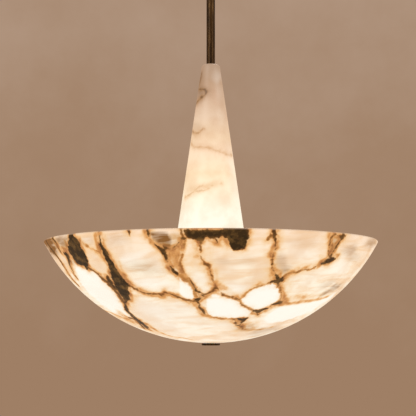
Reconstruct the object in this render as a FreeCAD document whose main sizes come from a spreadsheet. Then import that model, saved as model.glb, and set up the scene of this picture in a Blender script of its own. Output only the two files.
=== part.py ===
import FreeCAD, Part
import os
import re
import Sketcher

# Alabaster bowl pendant, in millimetres, +Z up. The origin is the centre of the face that
# meets the ceiling, and the fixture hangs below it. A swivel ball in the canopy carries a
# stem. The stem carries, from the top down, a conical alabaster shade on a tray, a cluster
# of three lampholders, and the alabaster bowl, which a finial nut clamps from below.

# ---------------------------------------------------------------- driving dimensions
SIZES = {
    # ceiling plate and canopy
    "crossbar_length": 112, "crossbar_width": 20, "crossbar_thick": 2.5,
    "slot_spread": 89, "slot_length": 14, "slot_width": 5.5, "wire_hole": 9,
    "canopy_radius": 63.5, "canopy_depth": 38, "canopy_wall": 1.2,
    "canopy_shoulder": 22, "canopy_mouth": 12,
    "stud_spread": 64, "stud_radius": 2, "stud_tail": 6, "stud_hole_gap": 0.5,
    "lock_nut_flats": 7, "lock_nut_thick": 3.2,
    "cap_nut_radius": 5.5, "cap_nut_height": 9, "cap_nut_collar": 3,
    "ground_place": 18, "ground_head_radius": 3.5, "ground_head_height": 2.2,
    # swivel
    "ball_radius": 14, "ball_flat": 12, "ball_stop": 5, "ball_wire_hole": 4,
    "liner_thick": 2, "liner_reach": 9, "liner_top": 2,
    "seat_radius": 21, "seat_depth": 10.3, "seat_ledge": 1, "seat_top": 2.5,
    # stem
    "rod_radius": 6.5, "rod_bore": 5.05, "exposed_rod": 231, "joint_hidden": 40,
    "thread_radius": 5, "thread_bore": 3.5, "joiner_length": 30, "flex_radius": 2.8,
    "terminal_radius": 7, "terminal_height": 7,
    # conical shade
    "cone_height": 306, "cone_top_radius": 13.4, "cone_base_radius": 57.5, "cone_wall": 8,
    "cone_shoulder": 5, "cone_cap": 22, "cone_sink": 35, "cone_foot": 2,
    "bush_wall": 1.6, "bush_length": 18,
    # tray that carries the conical shade
    "tray_thick": 2, "tray_rim_width": 1.6, "tray_rim_height": 3.5, "tray_clearance": 0.7,
    "tray_pad": 1.5, "tray_pad_width": 6, "tray_windows": 6, "window_radius": 11,
    "window_circle": 31, "collar_radius": 11.5, "collar_height": 10, "grub_radius": 2,
    # lamp cluster
    "hub_gap": 11.5, "hub_radius": 22, "hub_wall": 2, "hub_depth": 24, "hub_lid_thick": 2.5,
    "hub_skirt": 4, "nipple_reach": 18, "nut_flats": 14, "nut_thick": 4, "nut_tail": 1,
    "lamp_count": 3, "lamp_tilt": 10, "lamp_turn": 90, "arm_radius": 5, "arm_wall": 1,
    "arm_inner_end": 17, "holder_start": 36, "holder_radius": 18, "holder_wall": 1.5,
    "holder_length": 42, "holder_back": 8, "holder_shoulder": 5,
    "insert_base": 7, "insert_length": 32,
    # lamps
    "cap_radius": 13, "cap_wall": 0.8, "cap_length": 26, "cap_cone": 6, "contact_radius": 4.5,
    "contact_thick": 2, "lamp_body_length": 30, "lamp_body_base": 14.5, "lamp_neck": 24,
    "lamp_plug": 4, "glass_radius": 30, "glass_wall": 1.2,
    # bowl
    "bowl_radius": 250, "bowl_depth": 150.5, "bowl_wall": 10, "bowl_lip": 2,
    "bowl_hole": 7.5, "bowl_flat": 24,
    "stop_pad": 1.5, "stop_pad_radius": 21, "stop_plate": 2, "stop_plate_radius": 22,
    # finial nut under the bowl
    "finial_radius": 13.5, "finial_thick": 3, "finial_edge": 0.8, "finial_cap": 1.2,
    "finial_sleeve_radius": 6.5, "finial_sleeve": 8, "finial_pad": 1, "finial_pad_radius": 12,
    # clearances
    "thread_gap": 0.05, "running_gap": 0.05, "wire_gap": 0.5, "rod_end_gap": 0.5,
}

# ---------------------------------------------------------------- worked out from them
DERIVED = {
    "ball_level": "(canopy_wall + seat_depth - canopy_depth)",
    "ball_bore": "(rod_radius + thread_gap)",
    "thread_hole": "(thread_radius + thread_gap)",
    "stud_hole": "(stud_radius + thread_gap)",
    "liner_inner": "(ball_radius + running_gap)",
    "liner_outer": "(ball_radius + liner_thick)",
    "seat_inner": "(liner_outer + running_gap)",
    "cone_top_level": "(-canopy_depth - exposed_rod)",
    "cone_base_level": "(cone_top_level - cone_height)",
    "rim_level": "(cone_base_level + cone_sink)",
    "rod_joint_level": "(cone_top_level - joint_hidden)",
    "cone_slope": "((cone_base_radius - cone_top_radius) / (cone_height - cone_shoulder))",
    "cone_bore": "(rod_radius + running_gap + bush_wall + running_gap)",
    "tray_level": "(cone_base_level - tray_pad)",
    "tray_floor": "(tray_level - tray_thick)",
    "tray_inner": "(cone_base_radius + tray_clearance)",
    "tray_outer": "(tray_inner + tray_rim_width)",
    "hub_top_level": "(tray_floor - collar_height - hub_gap)",
    "hub_lid_floor": "(hub_top_level - hub_lid_thick)",
    "hub_bottom_level": "(hub_lid_floor - hub_depth)",
    "lamp_level": "(hub_lid_floor - hub_depth / 2)",
    "nipple_end": "(hub_lid_floor - nut_thick - nut_tail)",
    "hub_terminal_level": "(nipple_end - terminal_height - nut_tail)",
    "rod_top_level": "(hub_bottom_level + hub_wall + nut_thick + nut_tail)",
    "bowl_sphere": "((bowl_radius ^ 2 + bowl_depth ^ 2) / (2 * bowl_depth))",
    "inner_sphere": "(bowl_sphere - bowl_wall)",
    "lip_drop": "(bowl_sphere - bowl_depth + bowl_lip)",
    "lip_outer": "(bowl_sphere - bowl_lip)",
    "lip_inner": "(inner_sphere + bowl_lip)",
    "lip_outer_place": "sqrt(lip_outer ^ 2 - lip_drop ^ 2)",
    "lip_inner_place": "sqrt(lip_inner ^ 2 - lip_drop ^ 2)",
    "bowl_level": "(rim_level - bowl_depth)",
    "under_rise": "(bowl_sphere - sqrt(bowl_sphere ^ 2 - finial_radius ^ 2))",
    "seat_rise": "(bowl_sphere - sqrt(inner_sphere ^ 2 - bowl_flat ^ 2))",
    "under_level": "(bowl_level + under_rise)",
    "bowl_seat_level": "(bowl_level + seat_rise)",
    "stop_top_level": "(bowl_seat_level + stop_pad + stop_plate)",
    "finial_level": "(under_level - finial_pad - finial_thick)",
    "cap_hole": "(cap_radius + running_gap)",
    "insert_radius": "(holder_radius - holder_wall - thread_gap)",
    "contact_place": "(holder_start + holder_back + insert_base)",
    "lamp_body_start": "(contact_thick + cap_length)",
    "glass_start": "(lamp_body_start + lamp_body_length)",
    "glass_centre": "(glass_start + sqrt(glass_radius ^ 2 - lamp_neck ^ 2))",
    "glass_inner": "(glass_radius - glass_wall)",
}

WORD = re.compile(r"[a-z][a-z_]*")

doc = FreeCAD.newDocument("alabaster_bowl_pendant")
sheet = doc.addObject("Spreadsheet::Sheet", "sizes")
for row, (alias, number) in enumerate(SIZES.items(), start=1):
    sheet.set("A%d" % row, alias)
    sheet.set("B%d" % row, str(number))
    sheet.setAlias("B%d" % row, alias)
doc.recompute()

nodes = []


def bound(text):
    """Spell out a formula: worked-out names are opened up, sheet names get their sheet."""
    def spell(match):
        word = match.group()
        if word in DERIVED:
            return bound(DERIVED[word])
        return "sizes." + word if word in SIZES else word
    return WORD.sub(spell, text)


def value(text):
    """The number that a formula has now."""
    return float(sheet.evalExpression(bound(text)))


def keep(piece, level="0", x="0", y="0"):
    """Put a finished sub-part at its level and list it as a node."""
    for axis, text in (("x", x), ("y", y), ("z", level)):
        if text != "0":
            piece.setExpression("Placement.Base." + axis, bound(text))
    nodes.append(piece)
    return piece


# ---------------------------------------------------------------- sketches
def arc_centre(start, end, axis, known):
    """Centre of the arc from start to end, where one of its coordinates is known."""
    across = end - start
    level = (end.x ** 2 + end.y ** 2 - start.x ** 2 - start.y ** 2) / 2
    if axis == "x":
        return FreeCAD.Vector(known, (level - known * across.x) / across.y, 0)
    return FreeCAD.Vector((level - known * across.y) / across.x, known, 0)


def arc_edge(centre, start, end):
    """Counter-clockwise arc about centre."""
    upward = FreeCAD.Vector(0, 0, 1)
    first = (start - centre).getAngle(FreeCAD.Vector(1, 0, 0))
    last = (end - centre).getAngle(FreeCAD.Vector(1, 0, 0))
    first = -first if start.y < centre.y else first
    last = -last if end.y < centre.y else last
    circle = Part.Circle(centre, upward, (start - centre).Length)
    return Part.ArcOfCircle(circle, first, last)


def fix_point(sketch, edge, point, x_text, y_text):
    """Tie one point of a sketch to formulas, measured from the sketch's origin."""
    for kind, text, axis_line in (("DistanceX", x_text, -2), ("DistanceY", y_text, -1)):
        if text == "0":
            sketch.addConstraint(Sketcher.Constraint("PointOnObject", edge, point, axis_line))
        elif text is not None:
            rule = Sketcher.Constraint(kind, -1, 1, edge, point, value(text))
            index = sketch.addConstraint(rule)
            sketch.setExpression("Constraints[%d]" % index, bound(text))


def draw_loop(sketch, loop):
    """Closed loop of corners (x, y), or (x, y, (axis, formula, turn)) where an arc follows.

    The arc's centre has the given x or y. Its turn is "left" or "right" along the loop."""
    corners = [FreeCAD.Vector(value(corner[0]), value(corner[1]), 0) for corner in loop]
    edges = []
    for place, corner in enumerate(loop):
        start = corners[place]
        end = corners[(place + 1) % len(loop)]
        if len(corner) == 2:
            edges.append((sketch.addGeometry(Part.LineSegment(start, end), False), 1, 2))
            continue
        axis, text, turn = corner[2]
        centre = arc_centre(start, end, axis, value(text))
        if turn == "left":
            edges.append((sketch.addGeometry(arc_edge(centre, start, end), False), 1, 2))
        else:
            edges.append((sketch.addGeometry(arc_edge(centre, end, start), False), 2, 1))
    for place, (edge, _, last) in enumerate(edges):
        following, first, _ = edges[(place + 1) % len(edges)]
        joined = Sketcher.Constraint("Coincident", edge, last, following, first)
        sketch.addConstraint(joined)
    for corner, (edge, first, _) in zip(loop, edges):
        fix_point(sketch, edge, first, corner[0], corner[1])
        if len(corner) == 3:
            axis, text, _ = corner[2]
            centre_text = (text, None) if axis == "x" else (None, text)
            fix_point(sketch, edge, 3, *centre_text)


def draw_circle(sketch, x, y, radius):
    """Full circle about (x, y)."""
    centre = FreeCAD.Vector(value(x), value(y), 0)
    circle = Part.Circle(centre, FreeCAD.Vector(0, 0, 1), value(radius))
    edge = sketch.addGeometry(circle, False)
    fix_point(sketch, edge, 3, x, y)
    rule = sketch.addConstraint(Sketcher.Constraint("Radius", edge, value(radius)))
    sketch.setExpression("Constraints[%d]" % rule, bound(radius))


def new_sketch(body, name, plane):
    """Empty sketch on one of the body's own origin planes."""
    sketch = body.newObject("Sketcher::SketchObject", name)
    face = [item for item in body.Origin.OriginFeatures if item.Role == plane][0]
    sketch.AttachmentSupport = [(face, "")]
    sketch.MapMode = "FlatFace"
    return sketch


# ---------------------------------------------------------------- kinds of sub-part
def turned(name, *loops):
    """Body of revolution about its own Z axis. Loops are in (radius, height)."""
    body = doc.addObject("PartDesign::Body", name)
    sketch = new_sketch(body, name + "_profile", "XZ_Plane")
    for loop in loops:
        draw_loop(sketch, loop)
    turn = body.newObject("PartDesign::Revolution", name + "_turned")
    turn.Profile = sketch
    turn.ReferenceAxis = (sketch, ["V_Axis"])
    turn.Angle = 360
    return body


def ring(inner, outer, low, high):
    """Rectangular section of a ring or disc."""
    return [(inner, low), (outer, low), (outer, high), (inner, high)]


def plate(name, outline, thick, circles=(), loops=()):
    """Flat plate on XY, with round holes and shaped holes right through."""
    body = doc.addObject("PartDesign::Body", name)
    sketch = new_sketch(body, name + "_outline", "XY_Plane")
    draw_loop(sketch, outline)
    for circle in circles:
        draw_circle(sketch, *circle)
    for loop in loops:
        draw_loop(sketch, loop)
    pad = body.newObject("PartDesign::Pad", name + "_pad")
    pad.Profile = sketch
    pad.setExpression("Length", bound(thick))
    return body


def drilled(body, circles, copies=None):
    """Cut round holes right through a body along Z, repeated round it if copies is given."""
    sketch = new_sketch(body, body.Name + "_holes", "XY_Plane")
    for circle in circles:
        draw_circle(sketch, *circle)
    cut = body.newObject("PartDesign::Pocket", body.Name + "_drilled")
    cut.Profile = sketch
    cut.Type = "ThroughAll"
    cut.Midplane = True
    if copies:
        pattern = body.newObject("PartDesign::PolarPattern", body.Name + "_pattern")
        pattern.Originals = [cut]
        pattern.Axis = (sketch, ["N_Axis"])
        pattern.Angle = 360
        pattern.setExpression("Occurrences", bound(copies))
        body.Tip = pattern
    return body


def hex_nut(name, flats, thick, hole, x, level):
    """Plain hexagon nut with its axis along Z."""
    block = doc.addObject("Part::Prism", name + "_block")
    block.Polygon = 6
    block.setExpression("Circumradius", bound("%s / sqrt(3)" % flats))
    block.setExpression("Height", bound(thick))
    bore = doc.addObject("Part::Cylinder", name + "_bore")
    bore.setExpression("Radius", bound(hole))
    bore.setExpression("Height", bound(thick))
    nut = doc.addObject("Part::Cut", name)
    nut.Base = block
    nut.Tool = bore
    nut.setExpression("Placement.Base.x", bound(x))
    nut.setExpression("Placement.Base.z", bound(level))
    return nut


def group(name, members):
    """Several separate identical solids that share one node."""
    gathered = doc.addObject("Part::Compound", name)
    gathered.Links = members
    return keep(gathered)


def mirrored_pair(name, piece, x, level):
    """A piece at +x and its mirror image at -x, as one node."""
    piece.setExpression("Placement.Base.x", bound(x))
    piece.setExpression("Placement.Base.z", bound(level))
    other = doc.addObject("Part::Mirroring", name + "_other")
    other.Source = piece
    other.Normal = FreeCAD.Vector(1, 0, 0)
    return group(name, [piece, other])


def slot_loop(middle):
    """Slot along X with round ends, centred at x = middle."""
    straight = "(slot_length - slot_width) / 2"
    left = "%s - %s" % (middle, straight)
    right = "%s + %s" % (middle, straight)
    return [(left, "-slot_width / 2"),
            (right, "-slot_width / 2", ("x", right, "left")),
            (right, "slot_width / 2"),
            (left, "slot_width / 2", ("x", left, "left"))]


# ---------------------------------------------------------------- ceiling plate and canopy
def make_crossbar():
    half_length = "crossbar_length / 2"
    half_width = "crossbar_width / 2"
    outline = [("-" + half_length, "-" + half_width), (half_length, "-" + half_width),
               (half_length, half_width), ("-" + half_length, half_width)]
    stud_place = "stud_spread / 2"
    circles = [("0", "0", "wire_hole"),
               (stud_place, "0", "stud_hole"), ("-" + stud_place, "0", "stud_hole"),
               ("-ground_place", "0", "stud_hole")]
    slots = [slot_loop("slot_spread / 2"), slot_loop("-slot_spread / 2")]
    keep(plate("crossbar", outline, "crossbar_thick", circles, slots), "-crossbar_thick")


def make_canopy():
    flat = "canopy_radius - canopy_shoulder"
    outline = [("canopy_mouth", "0"),
               (flat, "0", ("x", flat, "left")),
               ("canopy_radius", "canopy_shoulder"),
               ("canopy_radius", "canopy_depth"),
               ("canopy_radius - canopy_wall", "canopy_depth"),
               ("canopy_radius - canopy_wall", "canopy_shoulder", ("x", flat, "right")),
               (flat, "canopy_wall"),
               ("canopy_mouth", "canopy_wall")]
    stud_place = "stud_spread / 2"
    hole = "stud_radius + stud_hole_gap"
    body = turned("canopy", outline)
    drilled(body, [(stud_place, "0", hole), ("-" + stud_place, "0", hole)])
    keep(body, "-canopy_depth")


def make_canopy_fixings():
    place = "stud_spread / 2"
    stud = turned("canopy_stud", ring("0", "stud_radius", "0", "canopy_depth + stud_tail"))
    mirrored_pair("canopy_studs", stud, place, "-canopy_depth - stud_tail")
    nut = hex_nut("stud_lock_nut", "lock_nut_flats", "lock_nut_thick", "stud_hole",
                  place, "-crossbar_thick - lock_nut_thick")
    mirrored_pair("stud_lock_nuts", nut, place, "-crossbar_thick - lock_nut_thick")
    dome_top = "cap_nut_height - cap_nut_collar"
    cap_outline = [("0", "0", ("x", "0", "left")),
                   ("cap_nut_radius", dome_top),
                   ("cap_nut_radius", "cap_nut_height"),
                   ("stud_hole", "cap_nut_height"),
                   ("stud_hole", "cap_nut_height - stud_tail - wire_gap"),
                   ("0", "cap_nut_height - stud_tail - wire_gap")]
    cap_nut = turned("canopy_cap_nut", cap_outline)
    mirrored_pair("canopy_cap_nuts", cap_nut, place, "-canopy_depth - cap_nut_height")


def make_ground_screw():
    outline = [("0", "0"), ("ground_head_radius", "0"),
               ("ground_head_radius", "ground_head_height"),
               ("stud_radius", "ground_head_height"),
               ("stud_radius", "ground_head_height + crossbar_thick"),
               ("0", "ground_head_height + crossbar_thick")]
    keep(turned("ground_screw", outline), "-crossbar_thick - ground_head_height",
         "-ground_place")


# ---------------------------------------------------------------- swivel
def sphere_radius_at(sphere, drop):
    """Radius of a sphere's section at a given drop from its centre."""
    return "sqrt((%s) ^ 2 - (%s) ^ 2)" % (sphere, drop)


def make_seat_ring():
    ledge = "(seat_depth - seat_ledge)"
    outline = [(sphere_radius_at("seat_inner", ledge), "-seat_depth"),
               ("seat_radius", "-seat_depth"),
               ("seat_radius", "-seat_top"),
               (sphere_radius_at("seat_inner", "seat_top"), "-seat_top", ("x", "0", "right")),
               (sphere_radius_at("seat_inner", ledge), "-" + ledge)]
    keep(turned("seat_ring", outline), "ball_level")


def make_liner():
    outline = [(sphere_radius_at("liner_inner", "liner_reach"), "-liner_reach"),
               (sphere_radius_at("liner_outer", "liner_reach"), "-liner_reach",
                ("x", "0", "left")),
               (sphere_radius_at("liner_outer", "liner_top"), "-liner_top"),
               (sphere_radius_at("liner_inner", "liner_top"), "-liner_top",
                ("x", "0", "right"))]
    keep(turned("swivel_liner", outline), "ball_level")


def make_hang_ball():
    outline = [("ball_bore", "-" + sphere_radius_at("ball_radius", "ball_bore"),
                ("x", "0", "left")),
               (sphere_radius_at("ball_radius", "ball_flat"), "ball_flat"),
               ("ball_wire_hole", "ball_flat"),
               ("ball_wire_hole", "ball_stop"),
               ("ball_bore", "ball_stop")]
    keep(turned("hang_ball", outline), "ball_level")


# ---------------------------------------------------------------- stem
def make_stem():
    upper = "ball_level + ball_stop - (rod_joint_level)"
    lower = "rod_joint_level - (hub_top_level)"
    keep(turned("upper_rod", ring("rod_bore", "rod_radius", "0", upper)), "rod_joint_level")
    keep(turned("lower_rod", ring("rod_bore", "rod_radius", "0", lower)), "hub_top_level")
    keep(turned("rod_joiner", ring("thread_bore", "thread_radius", "0", "joiner_length")),
         "rod_joint_level - joiner_length / 2")
    nipple = "hub_top_level + nipple_reach - (nipple_end)"
    keep(turned("hub_nipple", ring("thread_bore", "thread_radius", "0", nipple)), "nipple_end")


def make_wiring():
    flex_foot = "hub_terminal_level + terminal_height"
    flex = "ball_level + ball_flat - (%s)" % flex_foot
    keep(turned("supply_flex", ring("0", "flex_radius", "0", flex)), flex_foot)
    terminal = ring("0", "terminal_radius", "0", "terminal_height")
    keep(turned("supply_terminal", terminal), "ball_level + ball_flat")
    keep(turned("hub_terminal", terminal), "hub_terminal_level")


# ---------------------------------------------------------------- conical shade and tray
def make_cone():
    cavity_top = "cone_height - cone_cap"
    cavity_top_radius = "cone_base_radius - cone_slope * (%s) - cone_wall" % cavity_top
    outline = [("cone_base_radius - cone_wall", "0"),
               ("cone_base_radius - cone_foot", "0", ("y", "cone_foot", "left")),
               ("cone_base_radius", "cone_foot"),
               ("cone_top_radius", "cone_height - cone_shoulder",
                ("x", "cone_top_radius - cone_shoulder", "left")),
               ("cone_top_radius - cone_shoulder", "cone_height"),
               ("cone_bore", "cone_height"),
               ("cone_bore", cavity_top),
               (cavity_top_radius, cavity_top)]
    keep(turned("cone_shade", outline), "cone_base_level")
    bush = ring("rod_radius + running_gap", "cone_bore - running_gap", "0", "bush_length")
    keep(turned("cone_bush", bush), "cone_top_level - bush_length")


def make_tray():
    outline = [("ball_bore", "0"), ("tray_outer", "0"),
               ("tray_outer", "tray_thick + tray_rim_height"),
               ("tray_inner", "tray_thick + tray_rim_height"),
               ("tray_inner", "tray_thick"), ("ball_bore", "tray_thick")]
    tray = turned("cone_tray", outline)
    drilled(tray, [("window_circle", "0", "window_radius")], "tray_windows")
    keep(tray, "tray_floor")
    pad = ring("cone_base_radius - cone_foot - tray_pad_width",
               "cone_base_radius - cone_foot", "0", "tray_pad")
    keep(turned("cone_pad", pad), "tray_level")


def make_collar():
    bored = turned("tray_collar_ring",
                   ring("ball_bore", "collar_radius", "0", "collar_height"))
    bored.setExpression("Placement.Base.z", bound("tray_floor - collar_height"))
    for name, radius in (("tray_collar_hole", "grub_radius + thread_gap"),
                         ("collar_screw", "grub_radius")):
        pin = doc.addObject("Part::Cylinder", name)
        pin.setExpression("Radius", bound(radius))
        pin.setExpression("Height", bound("collar_radius - rod_radius"))
        pin.Placement.Rotation = FreeCAD.Rotation(FreeCAD.Vector(0, 1, 0), 90)
        pin.setExpression("Placement.Base.x", bound("rod_radius"))
        pin.setExpression("Placement.Base.z", bound("tray_floor - collar_height / 2"))
    collar = doc.addObject("Part::Cut", "tray_collar")
    collar.Base = bored
    collar.Tool = doc.getObject("tray_collar_hole")
    keep(collar)
    nodes.append(doc.getObject("collar_screw"))


# ---------------------------------------------------------------- lamp cluster
def lamp_place(piece, number, along):
    """Put a piece on the tilted axis of one lamp, at a distance from the hub's axis."""
    turn = value("lamp_turn + %d * 360 / lamp_count" % number)
    tilt = value("lamp_tilt")
    about_z = FreeCAD.Rotation(FreeCAD.Vector(0, 0, 1), turn)
    about_y = FreeCAD.Rotation(FreeCAD.Vector(0, 1, 0), 90 - tilt)
    piece.Placement = FreeCAD.Placement(FreeCAD.Vector(), about_z * about_y)
    heading = "(lamp_turn + %d * 360 / lamp_count)" % number
    across = "(%s) * cos(lamp_tilt)" % along
    piece.setExpression("Placement.Base.x", bound("%s * cos(%s)" % (across, heading)))
    piece.setExpression("Placement.Base.y", bound("%s * sin(%s)" % (across, heading)))
    rise = "lamp_level + (%s) * sin(lamp_tilt)" % along
    piece.setExpression("Placement.Base.z", bound(rise))
    return piece


def make_hub():
    lid = [("thread_hole", "0"), ("hub_radius", "0"), ("hub_radius", "hub_lid_thick"),
           ("thread_hole", "hub_lid_thick")]
    keep(turned("hub_lid", lid), "hub_lid_floor")
    cup_outline = [("thread_hole", "0"), ("hub_radius", "0"), ("hub_radius", "hub_depth"),
                   ("hub_radius - hub_wall", "hub_depth"),
                   ("hub_radius - hub_wall", "hub_wall"), ("thread_hole", "hub_wall")]
    cup = turned("hub_cup_turned", cup_outline)
    cup.setExpression("Placement.Base.z", bound("hub_bottom_level"))
    drills = []
    for number in range(round(value("lamp_count"))):
        drill = doc.addObject("Part::Cylinder", "hub_arm_hole_%d" % (number + 1))
        drill.setExpression("Radius", bound("arm_radius + thread_gap"))
        drill.setExpression("Height", bound("2 * hub_radius"))
        drills.append(lamp_place(drill, number, "0"))
    holes = doc.addObject("Part::MultiFuse", "hub_arm_holes")
    holes.Shapes = drills
    drilled_cup = doc.addObject("Part::Cut", "hub_cup")
    drilled_cup.Base = cup
    drilled_cup.Tool = holes
    keep(drilled_cup)
    levels = ["hub_lid_floor - nut_thick", "hub_bottom_level + hub_wall",
              "hub_bottom_level - nut_thick", "stop_top_level"]
    nuts = [hex_nut("stem_nut_%d" % (place + 1), "nut_flats", "nut_thick", "thread_hole",
                    "0", level) for place, level in enumerate(levels)]
    group("stem_nuts", nuts)


def make_lampholder(number):
    tag = "_%d" % (number + 1)
    arm = ring("arm_radius - arm_wall", "arm_radius", "0",
               "holder_start + holder_back - arm_inner_end")
    keep(lamp_place(turned("lamp_arm" + tag, arm), number, "arm_inner_end"))
    inside = "holder_radius - holder_wall"
    shell = [("arm_radius + thread_gap", "0"),
             ("holder_radius - holder_shoulder", "0",
              ("x", "holder_radius - holder_shoulder", "left")),
             ("holder_radius", "holder_shoulder"),
             ("holder_radius", "holder_length"), (inside, "holder_length"),
             (inside, "holder_back"), ("arm_radius + thread_gap", "holder_back")]
    keep(lamp_place(turned("lampholder" + tag, shell), number, "holder_start"))
    insert = [("0", "0"), ("insert_radius", "0"), ("insert_radius", "insert_length"),
              ("cap_hole", "insert_length"), ("cap_hole", "insert_base"),
              ("0", "insert_base")]
    keep(lamp_place(turned("lampholder_insert" + tag, insert), number,
                    "holder_start + holder_back"))


def make_lamp(number):
    tag = "_%d" % (number + 1)

    def add(name, outline):
        keep(lamp_place(turned(name + tag, outline), number, "contact_place"))

    add("lamp_contact", ring("0", "contact_radius", "0", "contact_thick"))
    add("lamp_cap", [("0", "contact_thick"), ("contact_radius", "contact_thick"),
                     ("cap_radius", "contact_thick + cap_cone"),
                     ("cap_radius", "lamp_body_start"),
                     ("cap_radius - cap_wall", "lamp_body_start"),
                     ("cap_radius - cap_wall", "contact_thick + cap_cone"),
                     ("0", "contact_thick + cap_cone")])
    plug = "cap_radius - cap_wall - thread_gap"
    add("lamp_body", [("0", "lamp_body_start - lamp_plug"),
                      (plug, "lamp_body_start - lamp_plug"), (plug, "lamp_body_start"),
                      ("lamp_body_base", "lamp_body_start"), ("lamp_neck", "glass_start"),
                      ("0", "glass_start")])
    inner_neck = sphere_radius_at("glass_inner", "glass_centre - (glass_start)")
    add("lamp_glass", [(inner_neck, "glass_start"),
                       ("lamp_neck", "glass_start", ("x", "0", "left")),
                       ("0", "glass_centre + glass_radius"),
                       ("0", "glass_centre + glass_inner", ("x", "0", "right"))])


# ---------------------------------------------------------------- bowl and its clamp
def make_bowl():
    outer_touch = "bowl_sphere / (lip_outer)"
    inner_touch = "inner_sphere / (lip_inner)"
    outline = [("bowl_hole", "under_rise"),
               ("finial_radius", "under_rise", ("x", "0", "left")),
               ("lip_outer_place * %s" % outer_touch,
                "bowl_sphere - lip_drop * %s" % outer_touch,
                ("y", "bowl_depth - bowl_lip", "left")),
               ("lip_outer_place", "bowl_depth"),
               ("lip_inner_place", "bowl_depth", ("y", "bowl_depth - bowl_lip", "left")),
               ("lip_inner_place * %s" % inner_touch,
                "bowl_sphere - lip_drop * %s" % inner_touch, ("x", "0", "right")),
               ("bowl_flat", "seat_rise"),
               ("bowl_hole", "seat_rise")]
    keep(turned("bowl", outline), "bowl_level")


def make_bowl_clamp():
    foot = "finial_level + finial_cap + rod_end_gap"
    rod = ring("0", "thread_radius", "0", "rod_top_level - (%s)" % foot)
    keep(turned("bowl_rod", rod), foot)
    keep(turned("stop_pad_ring", ring("thread_hole", "stop_pad_radius", "0", "stop_pad")),
         "bowl_seat_level")
    plate_ring = ring("thread_hole", "stop_plate_radius", "0", "stop_plate")
    keep(turned("stop_plate_disc", plate_ring), "bowl_seat_level + stop_pad")
    pad = ring("finial_sleeve_radius + wire_gap", "finial_pad_radius", "0", "finial_pad")
    keep(turned("finial_pad_ring", pad), "finial_level + finial_thick")


def make_finial():
    outline = [("0", "0"), ("finial_radius - finial_edge", "0"),
               ("finial_radius", "finial_edge"), ("finial_radius", "finial_thick"),
               ("finial_sleeve_radius", "finial_thick"),
               ("finial_sleeve_radius", "finial_thick + finial_sleeve"),
               ("thread_hole", "finial_thick + finial_sleeve"),
               ("thread_hole", "finial_cap"), ("0", "finial_cap")]
    keep(turned("finial", outline), "finial_level")


# ---------------------------------------------------------------- the whole fixture
make_crossbar()
make_canopy()
make_canopy_fixings()
make_ground_screw()
make_seat_ring()
make_liner()
make_hang_ball()
make_stem()
make_wiring()
make_cone()
make_tray()
make_collar()
make_hub()
for lamp in range(round(value("lamp_count"))):
    make_lampholder(lamp)
    make_lamp(lamp)
make_bowl()
make_bowl_clamp()
make_finial()

doc.recompute()
for item in doc.Objects:
    if "Invalid" in item.State or "Error" in item.State:
        raise RuntimeError("%s failed: %s" % (item.Name, item.State))
for node in nodes:
    if node.Shape.isNull() or not node.Shape.isValid():
        raise RuntimeError("%s has no valid shape" % node.Label)

os.makedirs("parts", exist_ok=True)
for node in nodes:
    node.Shape.exportStep("parts/%s.step" % node.Label)
print("%d sub-parts written" % len(nodes))
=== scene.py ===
import math

import bmesh
import bpy
import numpy as np
from mathutils import Euler, Matrix, Vector, noise


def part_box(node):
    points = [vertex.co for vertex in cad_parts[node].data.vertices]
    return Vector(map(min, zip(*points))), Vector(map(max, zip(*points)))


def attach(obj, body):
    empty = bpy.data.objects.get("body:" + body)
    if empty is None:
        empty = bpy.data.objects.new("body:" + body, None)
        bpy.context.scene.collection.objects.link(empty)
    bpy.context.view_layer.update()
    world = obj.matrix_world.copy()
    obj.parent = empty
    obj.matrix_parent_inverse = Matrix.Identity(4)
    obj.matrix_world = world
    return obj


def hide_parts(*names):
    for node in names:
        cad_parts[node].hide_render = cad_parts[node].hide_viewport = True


# Alabaster bowl pendant: the finish of every surface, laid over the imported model.
# Lengths are in metres unless a name says MM. +Z is up, and the camera looks along +Y.

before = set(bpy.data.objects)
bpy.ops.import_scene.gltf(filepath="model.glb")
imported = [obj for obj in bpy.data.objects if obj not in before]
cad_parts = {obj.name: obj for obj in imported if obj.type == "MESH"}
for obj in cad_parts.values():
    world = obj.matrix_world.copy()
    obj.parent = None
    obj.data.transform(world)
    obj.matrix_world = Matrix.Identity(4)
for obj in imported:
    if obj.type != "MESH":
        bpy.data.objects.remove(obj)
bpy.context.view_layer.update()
MM = 0.001

# ---------------------------------------------------------------- sizes read from the frame
BOWL_LOW, BOWL_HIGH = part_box("bowl")
CONE_LOW, CONE_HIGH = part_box("cone_shade")
RIM_LEVEL = BOWL_HIGH[2]
FINIAL_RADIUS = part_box("finial")[1][0]

# ---------------------------------------------------------------- sizes of the stone pieces
BOWL_RIM_RADIUS = 0.250
BOWL_DEPTH = 0.1505
BOWL_WALL = 0.010
BOWL_LIP = 0.002
BOWL_HOLE = 0.0075
BOWL_FLAT = 0.024
BOWL_SPHERE = (BOWL_RIM_RADIUS ** 2 + BOWL_DEPTH ** 2) / (2 * BOWL_DEPTH)
BOWL_BOTTOM = RIM_LEVEL - BOWL_DEPTH
SPHERE_CENTRE = BOWL_BOTTOM + BOWL_SPHERE
INNER_SPHERE = BOWL_SPHERE - BOWL_WALL

CONE_TOP = CONE_HIGH[2]
CONE_BASE = CONE_LOW[2]
CONE_TOP_RADIUS = 0.0134
CONE_BASE_RADIUS = CONE_HIGH[0]
CONE_WALL = 0.008
CONE_SHOULDER = 0.005
CONE_CAP = 0.022
CONE_FOOT = 0.002
CONE_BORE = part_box("cone_bush")[1][0] + 0.00005

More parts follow.
